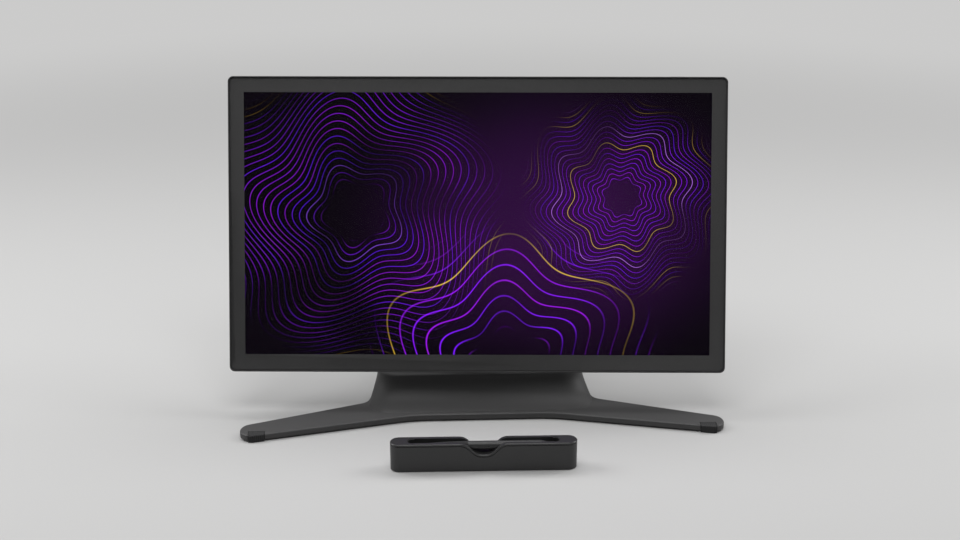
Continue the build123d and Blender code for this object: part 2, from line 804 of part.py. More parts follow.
def vent_grille():
    """Outlet grille in the window of the rear cover."""
    body = plate(
        GRILLE_W - 2 * FIX_GAP,
        GRILLE_H - 2 * FIX_GAP,
        GRILLE_R,
        INSIDE_Y,
        CASE_T,
        z=GRILLE_Z,
    )
    body += plate(
        GRILLE_W + 2 * GRILLE_LIP,
        GRILLE_H + 2 * GRILLE_LIP,
        GRILLE_R + GRILLE_LIP,
        INSIDE_Y - GRILLE_T,
        INSIDE_Y,
        z=GRILLE_Z,
    )
    pitch = (GRILLE_W - 2 * GRILLE_FRAME) / GRILLE_SLOTS
    slot_h = GRILLE_H - 2 * GRILLE_FRAME
    for index in range(GRILLE_SLOTS):
        x = (index - (GRILLE_SLOTS - 1) / 2) * pitch
        body -= upright_slot(GRILLE_SLOT_W, slot_h, x, GRILLE_Z)
    return body


def socket_rows():
    """Place and size of each socket along the port bay."""
    middle = (len(SOCKET_WIDTHS) - 1) / 2
    return [
        ((index - middle) * SOCKET_PITCH, width, height)
        for index, (width, height) in enumerate(zip(SOCKET_WIDTHS, SOCKET_HEIGHTS))
    ]


def socket_form(x, width, height, depth, floor=0):
    """A socket's outer form or its hollow, pointing down into the port bay."""
    y = CASE_T - SOCKET_BACK
    mouth = BAY_Z + BAY_H / 2 - SOCKET_PROUD
    outline = Pos(x, y) * RectangleRounded(width, height, height * SOCKET_CORNER_SHARE)
    return extrude(Plane.XY.offset(mouth + floor) * outline, amount=depth)


def socket(x, width, height):
    """A socket shell with its tongue."""
    body = socket_form(x, width, height, SOCKET_DEPTH)
    wall = 2 * SOCKET_WALL
    body -= socket_form(x, width - wall, height - wall, SOCKET_DEPTH - SOCKET_WALL, -SOCKET_WALL)
    y = CASE_T - SOCKET_BACK
    top = BAY_Z + BAY_H / 2 - SOCKET_PROUD + SOCKET_DEPTH
    low = top - SOCKET_DEPTH / 2
    half = width / 2 - 2 * SOCKET_TONGUE
    tongue = SOCKET_TONGUE / 2
    return body + block(x - half, x + half, y - tongue, y + tongue, low - tongue, top)


def port_board():
    """Circuit board that carries the sockets."""
    tallest = max(SOCKET_HEIGHTS)
    y_to = CASE_T - SOCKET_BACK - tallest / 2
    z_from = BAY_Z + BAY_H / 2 + BAY_WALL
    body = block(
        -PORT_BOARD_W / 2, PORT_BOARD_W / 2, y_to - BOARD_T, y_to, z_from, z_from + PORT_BOARD_H
    )
    for x, width, height in socket_rows():
        half = width / 2
        y_socket = CASE_T - SOCKET_BACK - height / 2
        top = BAY_Z + BAY_H / 2 - SOCKET_PROUD + SOCKET_DEPTH
        if height < tallest:
            body += block(x - half, x + half, y_to, y_socket, z_from, top)
    for side in (-1, 1):
        x = side * (PORT_BOARD_W / 2 - POST_INSET)
        z = z_from + PORT_BOARD_H - POST_INSET
        body += rod_y(POST_R, CHASSIS_Y, y_to - BOARD_T, x, z)
    return body


def main_board():
    """Main circuit board on its posts, with processor and memory."""
    front = CHASSIS_Y + MAIN_LIFT
    back = front + BOARD_T
    body = plate(MAIN_W, MAIN_H, PANEL_R, front, back, z=MAIN_Z)
    half_w = MAIN_W / 2 - POST_INSET
    half_h = MAIN_H / 2 - POST_INSET
    for x in (-half_w, half_w):
        for z in (-half_h, half_h):
            body += rod_y(POST_R, CHASSIS_Y, front, x, MAIN_Z + z)
    for side in (-1, 1):
        body += plate(CHIP_W, CHIP_W, PANEL_R, back, back + CHIP_T, side * CHIP_X, MAIN_Z)
    for index in range(MEMORY_COUNT):
        z = MAIN_Z + (index - (MEMORY_COUNT - 1) / 2) * MEMORY_PITCH
        body += plate(MEMORY_W, MEMORY_W, FIX_GAP, back, back + MEMORY_T, 0, z)
    return body


def heat_sink():
    """Finned sink at the top outlet with two pipes from the chips."""
    z_from = MAIN_Z + MAIN_H / 2 + SINK_GAP
    z_to = z_from + SINK_H
    back = INSIDE_Y - GRILLE_T - SEAT_GAP
    body = block(-SINK_W / 2, SINK_W / 2, CHASSIS_Y, CHASSIS_Y + SINK_BASE_T, z_from, z_to)
    for index in range(FIN_COUNT):
        x = -SINK_W / 2 + (SINK_W - FIN_T) * index / (FIN_COUNT - 1)
        body += block(x, x + FIN_T, CHASSIS_Y, back, z_from, z_to)
    pipe_y = CHASSIS_Y + MAIN_LIFT + BOARD_T + CHIP_T + PIPE_R
    for side in (-1, 1):
        foot = MAIN_Z - CHIP_W / 2
        x = side * CHIP_X
        body += rod_z(PIPE_R, foot, z_from + PIPE_INTO, x, pipe_y)
    return body


def fan_housing(side):
    """Open fan frame with the post that the rotor turns on."""
    x = side * FAN_X
    back = CHASSIS_Y + FAN_BOX_T
    body = plate(FAN_BOX, FAN_BOX, FAN_BOX_R, CHASSIS_Y, back, x, FAN_Z)
    body -= rod_y(FAN_BORE_R, CHASSIS_Y + FAN_WALL, back + CUT, x, FAN_Z)
    return body + rod_y(FAN_POST_R, CHASSIS_Y, CHASSIS_Y + FAN_WALL + ROTOR_T, x, FAN_Z)


def fan_rotor(side):
    """Fan rotor: hub, leaning blades and outer ring."""
    x = side * FAN_X
    front = CHASSIS_Y + FAN_WALL + SEAT_GAP
    back = front + ROTOR_T
    body = rod_y(HUB_R, front, back, x, FAN_Z)
    ring = rod_y(ROTOR_R, front, back, x, FAN_Z) - rod_y(ROTOR_R - RING_W, front, back, x, FAN_Z)
    body += ring
    reach = ROTOR_R - RING_W / 2
    for index in range(BLADE_COUNT):
        blade = block(HUB_R / 2, reach, front, back, -BLADE_T / 2, BLADE_T / 2)
        lean = Rot(Y=BLADE_LEAN)
        leaned = Pos(HUB_R / 2, 0, 0) * lean * Pos(-HUB_R / 2, 0, 0) * blade
        turned = Rot(Y=360 * index / BLADE_COUNT) * leaned
        body += Pos(x, 0, FAN_Z) * turned & rod_y(reach, front, back, x, FAN_Z)
    return body - rod_y(FAN_POST_R + RUN_GAP, 0, CASE_T, x, FAN_Z)


def key_places():
    """Heights of the keys along a grip."""
    return [GRIP_Z + ((KEY_COUNT - 1) / 2 - index) * KEY_PITCH for index in range(KEY_COUNT)]


def rear_grip(side):
    """Raised rubber grip on the back with its key pockets."""
    x = side * GRIP_X
    body = plate(GRIP_W, GRIP_H, GRIP_R, CASE_T, GRIP_TOP, x, GRIP_Z)
    body = fillet(body.faces().sort_by(Axis.Y)[-1].edges(), GRIP_ROUND)
    floor = GRIP_TOP + KEY_PROUD - KEY_T - KEY_TRAVEL - SEAT_GAP
    width = KEY_W + 2 * SLIDE_GAP
    height = KEY_H + 2 * SLIDE_GAP
    for z in key_places():
        body -= plate(width, height, KEY_R + SLIDE_GAP, floor, GRIP_TOP + CUT, x, z)
    return body


def rear_key(side, z):
    """A key in the grip."""
    back = GRIP_TOP + KEY_PROUD
    key = plate(KEY_W, KEY_H, KEY_R, back - KEY_T, back, side * GRIP_X, z)
    return fillet(key.faces().sort_by(Axis.Y)[-1].edges(), KEY_ROUND)


def hinge_bracket():
    """Steel plate on the back with the two hinge knuckles."""
    body = plate(BRACKET_W, BRACKET_H, BRACKET_R, CASE_T, CASE_T + BRACKET_T, z=HINGE_RAISE)
    foot_y = CASE_T + BRACKET_T / 2
    half = KNUCKLE_FOOT / 2
    ear_side = make_face(
        Polyline(
            (foot_y, HINGE_RAISE - half),
            (HINGE_BEHIND, HINGE_RAISE - KNUCKLE_R),
            (HINGE_BEHIND, HINGE_RAISE + KNUCKLE_R),
            (foot_y, HINGE_RAISE + half),
            close=True,
        )
    )
    for side in (-1, 1):
        start = KNUCKLE_X if side > 0 else -KNUCKLE_X - KNUCKLE_W
        body += extrude(Plane.YZ.offset(start) * ear_side, amount=KNUCKLE_W)
        body += rod_x(KNUCKLE_R, start, start + KNUCKLE_W, HINGE_BEHIND, HINGE_RAISE)
    body -= rod_x(SHAFT_R + RUN_GAP, -CASE_W, CASE_W, HINGE_BEHIND, HINGE_RAISE)
    for x, z in bracket_places():
        body -= rod_y(BRACKET_SCREW_R + FIX_GAP, 0, CASE_T + CUT, x, z)
    return body


def bracket_screw(x, z):
    """A screw through the bracket into the chassis."""
    face = CASE_T + BRACKET_T
    head = rod_y(BRACKET_HEAD_R, face, face + BRACKET_HEAD_T, x, z)
    return head + rod_y(BRACKET_SCREW_R - FIX_GAP, CHASSIS_Y, face, x, z)


# Pen holder

def obround(inset, z_from, z_to):
    """The holder's plan, drawn in by an inset, between two heights."""
    outline = SlotOverall(HOLDER_L - 2 * inset, 2 * (HOLDER_R - inset))
    return extrude(Plane.XY.offset(z_from) * outline, amount=z_to - z_from)


def above_notch(drop):
    """Everything above the notched top line, lowered by a drop."""
    top = HOLDER_H - drop
    low = top - NOTCH_DEPTH
    far = HOLDER_L
    flank_right = Spline(
        (NOTCH_FLOOR_HALF, low), (NOTCH_TOP_HALF, top), tangents=[(1, 0), (1, 0)]
    )
    flank_left = Spline(
        (-NOTCH_TOP_HALF, top), (-NOTCH_FLOOR_HALF, low), tangents=[(1, 0), (1, 0)]
    )
    lines = [
        Line((-far, top), (-NOTCH_TOP_HALF, top)),
        flank_left,
        Line((-NOTCH_FLOOR_HALF, low), (NOTCH_FLOOR_HALF, low)),
        flank_right,
        Line((NOTCH_TOP_HALF, top), (far, top)),
        Polyline((far, top), (far, 2 * HOLDER_H), (-far, 2 * HOLDER_H), (-far, top)),
    ]
    face = Plane.XZ.offset(-2 * HOLDER_R) * make_face(lines)
    return extrude(face, amount=4 * HOLDER_R)


def holder_shell():
    """Outer wall of the holder, ending below the tray's lip."""
    body = obround(0, HOLDER_PAD_T, HOLDER_H) - obround(HOLDER_WALL, 0, HOLDER_H)
    return body - above_notch(LIP + SEAM)


def holder_tray():
    """Insert with the lip and the pen trough, which runs into an upright cup at each end."""
    liner_z = HOLDER_PAD_T + HOLDER_BASE_T
    liner = obround(HOLDER_WALL + FIX_GAP, liner_z, HOLDER_H)
    lip = obround(0, HOLDER_PAD_T, HOLDER_H) & above_notch(LIP)
    body = liner + lip - above_notch(0)
    top_edges = [edge for face in body.faces() if face.normal_at().Z > 0 for edge in face.edges()]
    body = chamfer(ShapeList(top_edges).filter_by(Axis.Y, reverse=True), HOLDER_EDGE)
    body -= rod_x(SEAT_R, -TROUGH_HALF, TROUGH_HALF, 0, PEN_AXIS_Z)
    body -= block(-TROUGH_HALF, TROUGH_HALF, -SEAT_R, SEAT_R, PEN_AXIS_Z, HOLDER_H + CUT)
    for side in (-1, 1):
        body -= rod_z(CUP_R, CUP_FLOOR, HOLDER_H + CUT, side * CUP_X)
        body -= rod_z(CUP_RIM_R, HOLDER_H - CUP_RIM_DEEP, HOLDER_H + CUT, side * CUP_X)
    for index in range(SPARE_COUNT):
        body -= rod_z(NIB_R + FIX_GAP, 0, liner_z + SPARE_L, spare_x(index))
    return body


def holder_base():
    """Lid under the tray."""
    top = HOLDER_PAD_T + HOLDER_BASE_T
    return obround(HOLDER_WALL + FIX_GAP, HOLDER_PAD_T, top)


def holder_pad():
    """Rubber sole of the holder."""
    return obround(HOLDER_PAD_INSET, 0, HOLDER_PAD_T)


def spare_x(index):
    """Place of a spare nib along the holder."""
    return SPARE_X + index * SPARE_PITCH


def spare_nib(index):
    """A spare nib standing in its hole on the lid."""
    low = HOLDER_PAD_T + HOLDER_BASE_T
    return rod_z(NIB_R, low, low + SPARE_L, spare_x(index))


# Pen, its axis along X and its nib to the left

def turned(points):
    """A solid of revolution about X from (x, radius) points."""
    first, last = points[0], points[-1]
    closed = [(first[0], 0)] + points + [(last[0], 0)]
    return revolve(make_face(Polyline(closed, close=True)), Axis.X)


def pen_key_turn():
    """The side the pen's keys face, at the front and slightly down."""
    return Rot(X=-PEN_KEY_TURN)


def pen_key_form(index, gap, low_r, high_r):
    """One of the pen's two keys, or its pocket."""
    start = PEN_KEY_GAP / 2 + (index - 1) * (PEN_KEY_L + PEN_KEY_GAP)
    half = PEN_KEY_W / 2 + gap
    form = block(start - gap, start + PEN_KEY_L + gap, -high_r, -low_r, -half, half)
    return pen_key_turn() * form


def pen_barrel():
    """Barrel of the pen with its core and nose."""
    left = -PEN_L / 2
    grip_from = left + GRIP_START
    grip_to = grip_from + GRIP_L
    tail = PEN_L / 2 - TAIL_L
    body = turned(
        [
            (left + NIB_PROUD, NOSE_END_R),
            (grip_from, GRIP_END_R),
            (grip_from, GRIP_END_R - GRIP_WALL),
            (grip_to, PEN_R - GRIP_WALL),
            (grip_to, PEN_R),
            (tail, PEN_R),
        ]
    )
    body -= rod_x(NIB_R + RUN_GAP, left, left + NIB_L + NIB_TRAVEL + SEAT_GAP)
    floor_r = PEN_R - PEN_KEY_DEEP - PEN_KEY_TRAVEL - SEAT_GAP
    for index in range(2):
        body -= pen_key_form(index, SLIDE_GAP / 2, floor_r, 2 * PEN_R)
    return body


def pen_grip():
    """Rubber sleeve round the front of the barrel."""
    grip_from = -PEN_L / 2 + GRIP_START
    grip_to = grip_from + GRIP_L
    body = turned(
        [
            (grip_from, GRIP_END_R),
            ((grip_from + grip_to) / 2, GRIP_WAIST_R),
            (grip_to, PEN_R),
        ]
    )
    inner = turned(
        [
            (grip_from, GRIP_END_R - GRIP_WALL + FIX_GAP),
            (grip_to, PEN_R - GRIP_WALL + FIX_GAP),
        ]
    )
    return body - inner


def pen_tail():
    """End cap of the pen."""
    end = PEN_L / 2
    cap = turned([(end - TAIL_L, PEN_R), (end, TAIL_END_R)])
    return fillet(cap.faces().sort_by(Axis.X)[-1].edges(), TAIL_ROUND)


def pen_nib():
    """Nib that slides in as the pen presses."""
    left = -PEN_L / 2
    return turned([(left, NIB_R / 2), (left + NIB_R, NIB_R), (left + NIB_L, NIB_R)])


def pen_key(index):
    """A side key of the pen."""
    low_r = PEN_R - PEN_KEY_DEEP
    high_r = PEN_R + PEN_KEY_PROUD
    key = pen_key_form(index, 0, low_r, high_r)
    return key & rod_x(high_r, -PEN_L / 2, PEN_L / 2)


def rear_keys():
    """Every rear key by name, counted from the top."""
    keys = {}
    for side, word in ((-1, "left"), (1, "right")):
        for index, z in enumerate(key_places()):
            keys[f"rear_key_{word}_{index + 1}"] = rear_key(side, z)
    return keys


def both(make):
    """The left and the right one of a piece, in one node."""
    return Compound([make(side) for side in (-1, 1)])


def stand_nodes():
    """Pieces of the stand's fixed part."""
    return {
        "stand_base": stand_base(),
        "base_cover_plate": base_cover_plate(),
        "base_cover_screws": Compound([base_screw(x, y) for x, y in base_screw_places()]),
        "foot_pad_front_left": foot_pad_front(-1),
        "foot_pad_front_right": foot_pad_front(1),
        "foot_pads_rear": both(foot_pad_rear),
        "swivel_race": swivel_race(),
        "swivel_stop_pin": swivel_stop_pin(),
        "cable_clip": cable_clip(),
    }


def head_nodes():
    """Pieces that swivel but don't tilt."""
    cover_front, cover_rear = column_covers()
    discs = [tilt_disc(side, index) for side in (-1, 1) for index in range(DISC_COUNT)]
    return {
        "swivel_plate": swivel_plate(),
        "swivel_spindle": swivel_spindle(),
        "spindle_nut": spindle_nut(),
        "head_column": head_column(),
        "column_cover_front": cover_front,
        "column_cover_rear": cover_rear,
        "tilt_shaft": tilt_shaft(),
        "tilt_discs": Compound(discs),
        "tilt_nuts": both(tilt_nut),
    }


def display_nodes():
    """Pieces of the display."""
    nodes = {
        "chassis_frame": chassis_frame(),
        "cover_glass": cover_glass(),
        "border_mask": border_mask(),
        "lcd_panel": panel_layer(LCD_Y, BACKLIGHT_Y),
        "backlight_unit": panel_layer(BACKLIGHT_Y, SENSOR_Y),
        "pen_sensor_board": panel_layer(SENSOR_Y, SHIELD_Y),
        "shield_plate": panel_layer(SHIELD_Y, FLOOR_Y),
        "main_board": main_board(),
        "heat_sink": heat_sink(),
        "fan_housings": both(fan_housing),
        "fan_rotor_left": fan_rotor(-1),
        "fan_rotor_right": fan_rotor(1),
        "port_board": port_board(),
        "port_sockets": Compound([socket(*row) for row in socket_rows()]),
        "rear_cover": rear_cover(),
        "vent_grille": vent_grille(),
        "rear_grip_left": rear_grip(-1),
        "rear_grip_right": rear_grip(1),
        "side_inserts": both(side_insert),
        "hinge_bracket": hinge_bracket(),
        "bracket_screws": Compound([bracket_screw(x, z) for x, z in bracket_places()]),
        "power_button": power_button(),
    }
    return {**nodes, **rear_keys()}


def holder_nodes():
    """Pieces of the pen holder."""
    return {
        "holder_shell": holder_shell(),
        "holder_tray": holder_tray(),
        "holder_base": holder_base(),
        "holder_pad": holder_pad(),
        "spare_nibs": Compound([spare_nib(index) for index in range(SPARE_COUNT)]),
    }


def pen_nodes():
    """Pieces of the pen."""
    return {
        "pen_barrel": pen_barrel(),
        "pen_grip": pen_grip(),
        "pen_tail": pen_tail(),
        "pen_nib": pen_nib(),
        "pen_key_front": pen_key(0),
        "pen_key_rear": pen_key(1),
    }


def all_nodes():
    """Every piece in its place at rest, in the stand's own frame."""
    groups = (
        (STAND, stand_nodes()),
        (HEAD, head_nodes()),
        (DISPLAY, display_nodes()),
        (HOLDER, holder_nodes()),
        (PEN, pen_nodes()),
    )
    return {name: place * shape for place, nodes in groups for name, shape in nodes.items()}


placed = all_nodes()
outline_box = Compound(list(placed.values())).bounding_box()
middle = outline_box.center()
ROW = Pos(-middle.X, -middle.Y, -outline_box.min.Z)

os.makedirs("parts", exist_ok=True)
for name, shape in placed.items():
    export_step(ROW * shape, f"parts/{name}.step")
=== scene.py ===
import json
import math

import bmesh
import bpy
from bpy.props import FloatProperty, FloatVectorProperty, IntProperty, PointerProperty
from mathutils import Matrix, Vector


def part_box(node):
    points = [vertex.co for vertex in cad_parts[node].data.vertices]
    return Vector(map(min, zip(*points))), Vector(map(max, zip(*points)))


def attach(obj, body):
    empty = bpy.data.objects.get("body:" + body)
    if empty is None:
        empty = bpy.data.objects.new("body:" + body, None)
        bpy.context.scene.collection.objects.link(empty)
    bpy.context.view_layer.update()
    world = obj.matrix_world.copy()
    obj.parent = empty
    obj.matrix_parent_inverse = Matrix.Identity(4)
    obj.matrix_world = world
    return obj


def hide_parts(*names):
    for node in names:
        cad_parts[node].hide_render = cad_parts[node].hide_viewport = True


bl_info = {
    "name": "Pen display on a stand",
    "version": (1, 0, 0),
    "blender": (4, 5, 0),
    "location": "3D View > Sidebar > Pen display",
    "description": "Dresses and lights a pen display, its stand, its pen holder and its pen",
    "category": "Object",
}

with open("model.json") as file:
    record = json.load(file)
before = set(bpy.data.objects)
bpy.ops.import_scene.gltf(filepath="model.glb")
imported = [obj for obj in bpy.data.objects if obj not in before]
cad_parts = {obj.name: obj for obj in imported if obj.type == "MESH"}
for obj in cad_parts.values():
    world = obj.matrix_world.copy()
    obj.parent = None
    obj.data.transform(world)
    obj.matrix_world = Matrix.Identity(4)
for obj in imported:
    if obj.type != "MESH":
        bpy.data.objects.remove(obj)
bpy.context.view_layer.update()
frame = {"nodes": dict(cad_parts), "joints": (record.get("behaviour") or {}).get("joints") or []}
MM = 0.001
BLACK = (0.0, 0.0, 0.0, 1.0)

# Places in the display, from the middle of its front: to the right, to the back and up
PANEL_DEEP = 3.2 * MM
PANEL_RAISE = 1.1 * MM
BRACKET_RAISE = -30 * MM
BRACKET_FACE = 35 * MM
BRACKET_PITCH = 100 * MM

# The picture's haze and its rosettes, in metres from the picture's middle: each has its heart, how
# far it spreads the pitch, the width of its lines, its petals with their sway and twist, and the
# reaches between which it shows
HAZE_EAST = 0.1
HAZE_REACH = 0.3
ROSETTES = (
    {
        "heart": (-0.155, 0.015),
        "spread": 1.0,
        "width": 0.46 * MM,
        "petals": 5.0,
        "sway": 0.13,
        "twist": 16.0,
        "inner": 0.034,
        "outer": 0.2,
    },
    {
        "heart": (0.185, 0.035),
        "spread": 0.75,
        "width": 0.4 * MM,
        "petals": 8.0,
        "sway": 0.09,
        "twist": 30.0,
        "inner": 0.018,
        "outer": 0.135,
    },
    {
        "heart": (0.045, -0.19),
        "spread": 2.2,
        "width": 1.3 * MM,
        "petals": 6.0,
        "sway": 0.11,
        "twist": 8.0,
        "inner": 0.05,
        "outer": 0.2,
    },
)

# Tracks and pads of the circuit boards, and the side threads
LANE = 1.6 * MM
TRACK_RUN = 22 * MM
PAD_PITCH = 4.2 * MM
THREAD_PITCH = 1.27 * MM

# Screws and nuts
BRACKET_HEAD_R = 4 * MM
BRACKET_HEAD_T = 2.4 * MM
BASE_HEAD_R = 2.9 * MM
BASE_HEAD_T = 0.9 * MM
BASE_REAR_HALF = 62 * MM
NUT_X = 53.1 * MM
NUT_R = 10 * MM
NUT_T = 6 * MM
SHAFT_R = 6 * MM
ROUND_SIDES = 40
HEX_SIDES = 6
CREASE = math.radians(32)

# Each lamp: its place, its size and the point that it faces
KEY_LAMP = ((-0.2, -1.0, 2.6), (2.0, 0.9), (0, -0.05, 0.2))
TOP_LAMP = ((0, 0.9, 2.4), (2.4, 1.0), (0, -0.05, 0))
SIDE_LAMP = ((1.7, 0.3, 1.4), (1.0, 1.2), (0, 0, 0.1))

# The camera, from the swivel's axis, with its height above the desk
CAMERA_ASIDE = -80 * MM
CAMERA_BACK = -1855 * MM
CAMERA_HEIGHT = 860 * MM
CAMERA_TILT = math.radians(90 - 20.71)
CAMERA_TURN = math.radians(-2.56)
SENSOR_WIDTH = 36


# Places and turns

def joint(name):
    """The joint of that name."""
    return next(j for j in frame["joints"] if j["name"] == name)


def middle(node):
    """The middle of a node's box."""
    low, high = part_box(node)
    return (low + high) / 2


def turned(right, back):
    """The turn whose X axis points right and whose Y axis points back."""
    return Matrix((right, back, right.cross(back))).transposed()


HEAD_RIGHT = -Vector(joint("tilt")["axis"])
HEAD_TURN = turned(HEAD_RIGHT, Vector((0, 0, 1)).cross(HEAD_RIGHT))
DISPLAY_TURN = turned(HEAD_RIGHT, -Vector(joint("power_button_press")["axis"]).cross(HEAD_RIGHT))
PANEL_MIDDLE = middle("lcd_panel")


def on_display(x, y, z):
    """The place of a point given from the middle of the display's front."""
    return PANEL_MIDDLE + DISPLAY_TURN @ Vector((x, y - PANEL_DEEP, z - PANEL_RAISE))


# Shader maths

class Value:
    """A node's output, on which Python expressions build Math nodes."""

    def __init__(self, finish, output):
        self.finish = finish
        self.output = output

    def math(self, operation, *others):
        """A Math node with this value first."""
        values = dict(enumerate((self,) + others))
        return self.finish.add("ShaderNodeMath", {"operation": operation}, values)

    def swapped(self, operation, other):
        """A Math node with this value second."""
        return self.finish.add("ShaderNodeMath", {"operation": operation}, {0: other, 1: self})

    def __add__(self, other):
        return self.math("ADD", other)

    def __sub__(self, other):
        return self.math("SUBTRACT", other)

    def __mul__(self, other):
        return self.math("MULTIPLY", other)

    def __truediv__(self, other):
        return self.math("DIVIDE", other)

    def __rsub__(self, other):
        return self.swapped("SUBTRACT", other)

    def __rtruediv__(self, other):
        return self.swapped("DIVIDE", other)

    __radd__ = __add__
    __rmul__ = __mul__


class Finish:
    """A material in the making, which ends in one principled shader."""

    def __init__(self, name):
        self.material = bpy.data.materials.new(name)
        self.material.use_nodes = True
        self.tree = self.material.node_tree
        self.shader = self.tree.nodes["Principled BSDF"]

    def fill(self, node, inputs):
        """Puts values and links on a node's sockets."""
        for key, value in inputs.items():
            if isinstance(value, Value):
                self.tree.links.new(value.output, node.inputs[key])
            else:
                node.inputs[key].default_value = value

    def add(self, kind, settings=None, inputs=None, output=0):
        """A node of any kind, with its settings first and then its sockets."""
        node = self.tree.nodes.new(kind)
        for key, value in (settings or {}).items():
            setattr(node, key, value)
        self.fill(node, inputs or {})
        return Value(self, node.outputs[output])

    def shade(self, inputs):
        """Puts values and links on the shader, and gives the material back."""
        self.fill(self.shader, inputs)
        return self.material

    def where(self, turn=None, centre=(0, 0, 0), stretch=(1, 1, 1)):
        """Object coordinates, which may be turned, centred and stretched."""
        plain = self.add("ShaderNodeTexCoord", output=3)
        if turn is None and stretch == (1, 1, 1):
            return plain
        sockets = {"Vector": plain, "Location": centre, "Scale": stretch}
        if turn is not None:
            sockets["Rotation"] = turn.to_euler()
        return self.add("ShaderNodeMapping", {"vector_type": "TEXTURE"}, sockets)

    def split(self, vector):
        """A vector's three parts."""
        parts = self.add("ShaderNodeSeparateXYZ", None, {0: vector})
        node = parts.output.node
        return [Value(self, output) for output in node.outputs]

    def noise(self, where, size, detail=2.0, rough=0.5):
        """Cloudy noise with clouds of a size, from 0 to 1."""
        sockets = {"Vector": where, "Scale": 1 / size, "Detail": detail, "Roughness": rough}
        return self.add("ShaderNodeTexNoise", None, sockets)

    def cells(self, where, size):
        """Distance from the middle of the nearest cell, in cell sizes."""
        return self.add("ShaderNodeTexVoronoi", None, {"Vector": where, "Scale": 1 / size})

    def chance(self, value):
        """A random value from 0 to 1 for each whole number."""
        settings = {"noise_dimensions": "1D"}
        return self.add("ShaderNodeTexWhiteNoise", settings, {"W": value})

    def ramp(self, value, low, high, start=0.0, end=1.0):
        """Goes smoothly from start to end while the value goes from low to high."""
        sockets = {0: value, 1: low, 2: high, 3: start, 4: end}
        return self.add("ShaderNodeMapRange", {"interpolation_type": "SMOOTHSTEP"}, sockets)

    def mix(self, share, first, second, blend="MIX"):
        """Two colours mixed by a share."""
        settings = {"data_type": "RGBA", "blend_type": blend}
        return self.add("ShaderNodeMix", settings, {0: share, 6: first, 7: second}, 2)

    def soft(self, radius):
        """The surface's normal with its sharp edges rounded by a radius."""
        return self.add("ShaderNodeBevel", {"samples": 6}, {"Radius": radius})

    def edge_highlight(self, soft):
        """1 along the edges that the rounded normal shows, and 0 elsewhere: the mask of the painted
        edge highlights.
        """
        plain = self.add("ShaderNodeNewGeometry", output=1)
        settings = {"operation": "DOT_PRODUCT"}
        alike = self.add("ShaderNodeVectorMath", settings, {0: soft, 1: plain}, 1)
        return self.ramp(alike, 0.995, 0.86)

    def bump(self, height, depth, normal=None):
        """A normal with bumps as high as depth where height is 1."""
        sockets = {"Height": height, "Distance": depth, "Strength": 1.0}
        if normal is not None:
            sockets["Normal"] = normal
        return self.add("ShaderNodeBump", None, sockets)


def rgba(colour, scale=1.0):
    """A colour, made lighter or darker, with full alpha."""
    return (*[min(1.0, part * scale) for part in colour], 1.0)


# Finishes

def charcoal_paint(name, colour, grain, rough):
    """Fine matt paint on light alloy, a little glossier along its edges, which are also lightened as
    a painted highlight.
    """
    paint = Finish(name)
    where = paint.where()
    soft = paint.soft(0.5 * MM)
    specks = paint.noise(where, grain, 3.0, 0.6)
    clouds = paint.noise(where, 70 * MM)
    edge = paint.edge_highlight(soft)
    body = paint.mix(specks * 0.6 + clouds * 0.4, rgba(colour, 0.84), rgba(colour, 1.16))
    return paint.shade(
        {
            # Painted highlight: the edges are lightened toward 1.9 times the paint colour
            "Base Color": paint.mix(edge * 0.5, body, rgba(colour, 1.9)),
            "Roughness": rough + 0.12 * (specks - 0.5) + 0.08 * (clouds - 0.5) - 0.08 * edge,
            "Specular IOR Level": 0.5,
            "Normal": paint.bump(specks, 0.03 * MM, soft),
        }
    )


def sparked_plastic(name, colour, grain, rough, depth):
    """Moulded plastic with the even pebble of a spark-eroded mould."""
    plastic = Finish(name)
    where = plastic.where()
    soft = plastic.soft(0.4 * MM)
    pebbles = plastic.cells(where, grain)
    fine = plastic.noise(where, grain / 3, 2.0)
    clouds = plastic.noise(where, 50 * MM)
    edge = plastic.edge_highlight(soft)
    body = plastic.mix(clouds * 0.5 + pebbles * 0.4, rgba(colour, 0.85), rgba(colour, 1.15))
    return plastic.shade(
        {
            # Painted highlight: the edges are lightened toward 1.6 times the plastic colour
            "Base Color": plastic.mix(edge * 0.35, body, rgba(colour, 1.6)),
            "Roughness": rough + 0.12 * (fine - 0.5) - 0.06 * edge,
            "Normal": plastic.bump(pebbles + fine * 0.4, depth, soft),
        }
    )


def etched_glass(name, colour, alpha):
    """Cover glass with a fine etch that spreads reflections."""
    glass = Finish(name)
    where = glass.where()
    etch = glass.noise(where, 0.25 * MM, 2.0)
    smears = glass.noise(where, 90 * MM, 3.0, 0.6)
    return glass.shade(
        {
            "Base Color": rgba(colour),
            "Roughness": 0.36 + 0.06 * (etch - 0.5) + 0.08 * (smears - 0.5),
            "Specular IOR Level": 0.8,
            "Alpha": alpha,
            "Normal": glass.bump(etch, 0.004 * MM),
        }
    )


def border_print(name, colour):
    """Charcoal print behind the glass, with a soft screen-printed grain."""
    ink = Finish(name)
    where = ink.where()
    grain = ink.noise(where, 0.4 * MM, 2.0)
    clouds = ink.noise(where, 120 * MM)
    return ink.shade(
        {
            "Base Color": ink.mix(grain * 0.4 + clouds * 0.6, rgba(colour, 0.9), rgba(colour, 1.1)),
            "Roughness": 0.5 + 0.1 * grain,
        }
    )


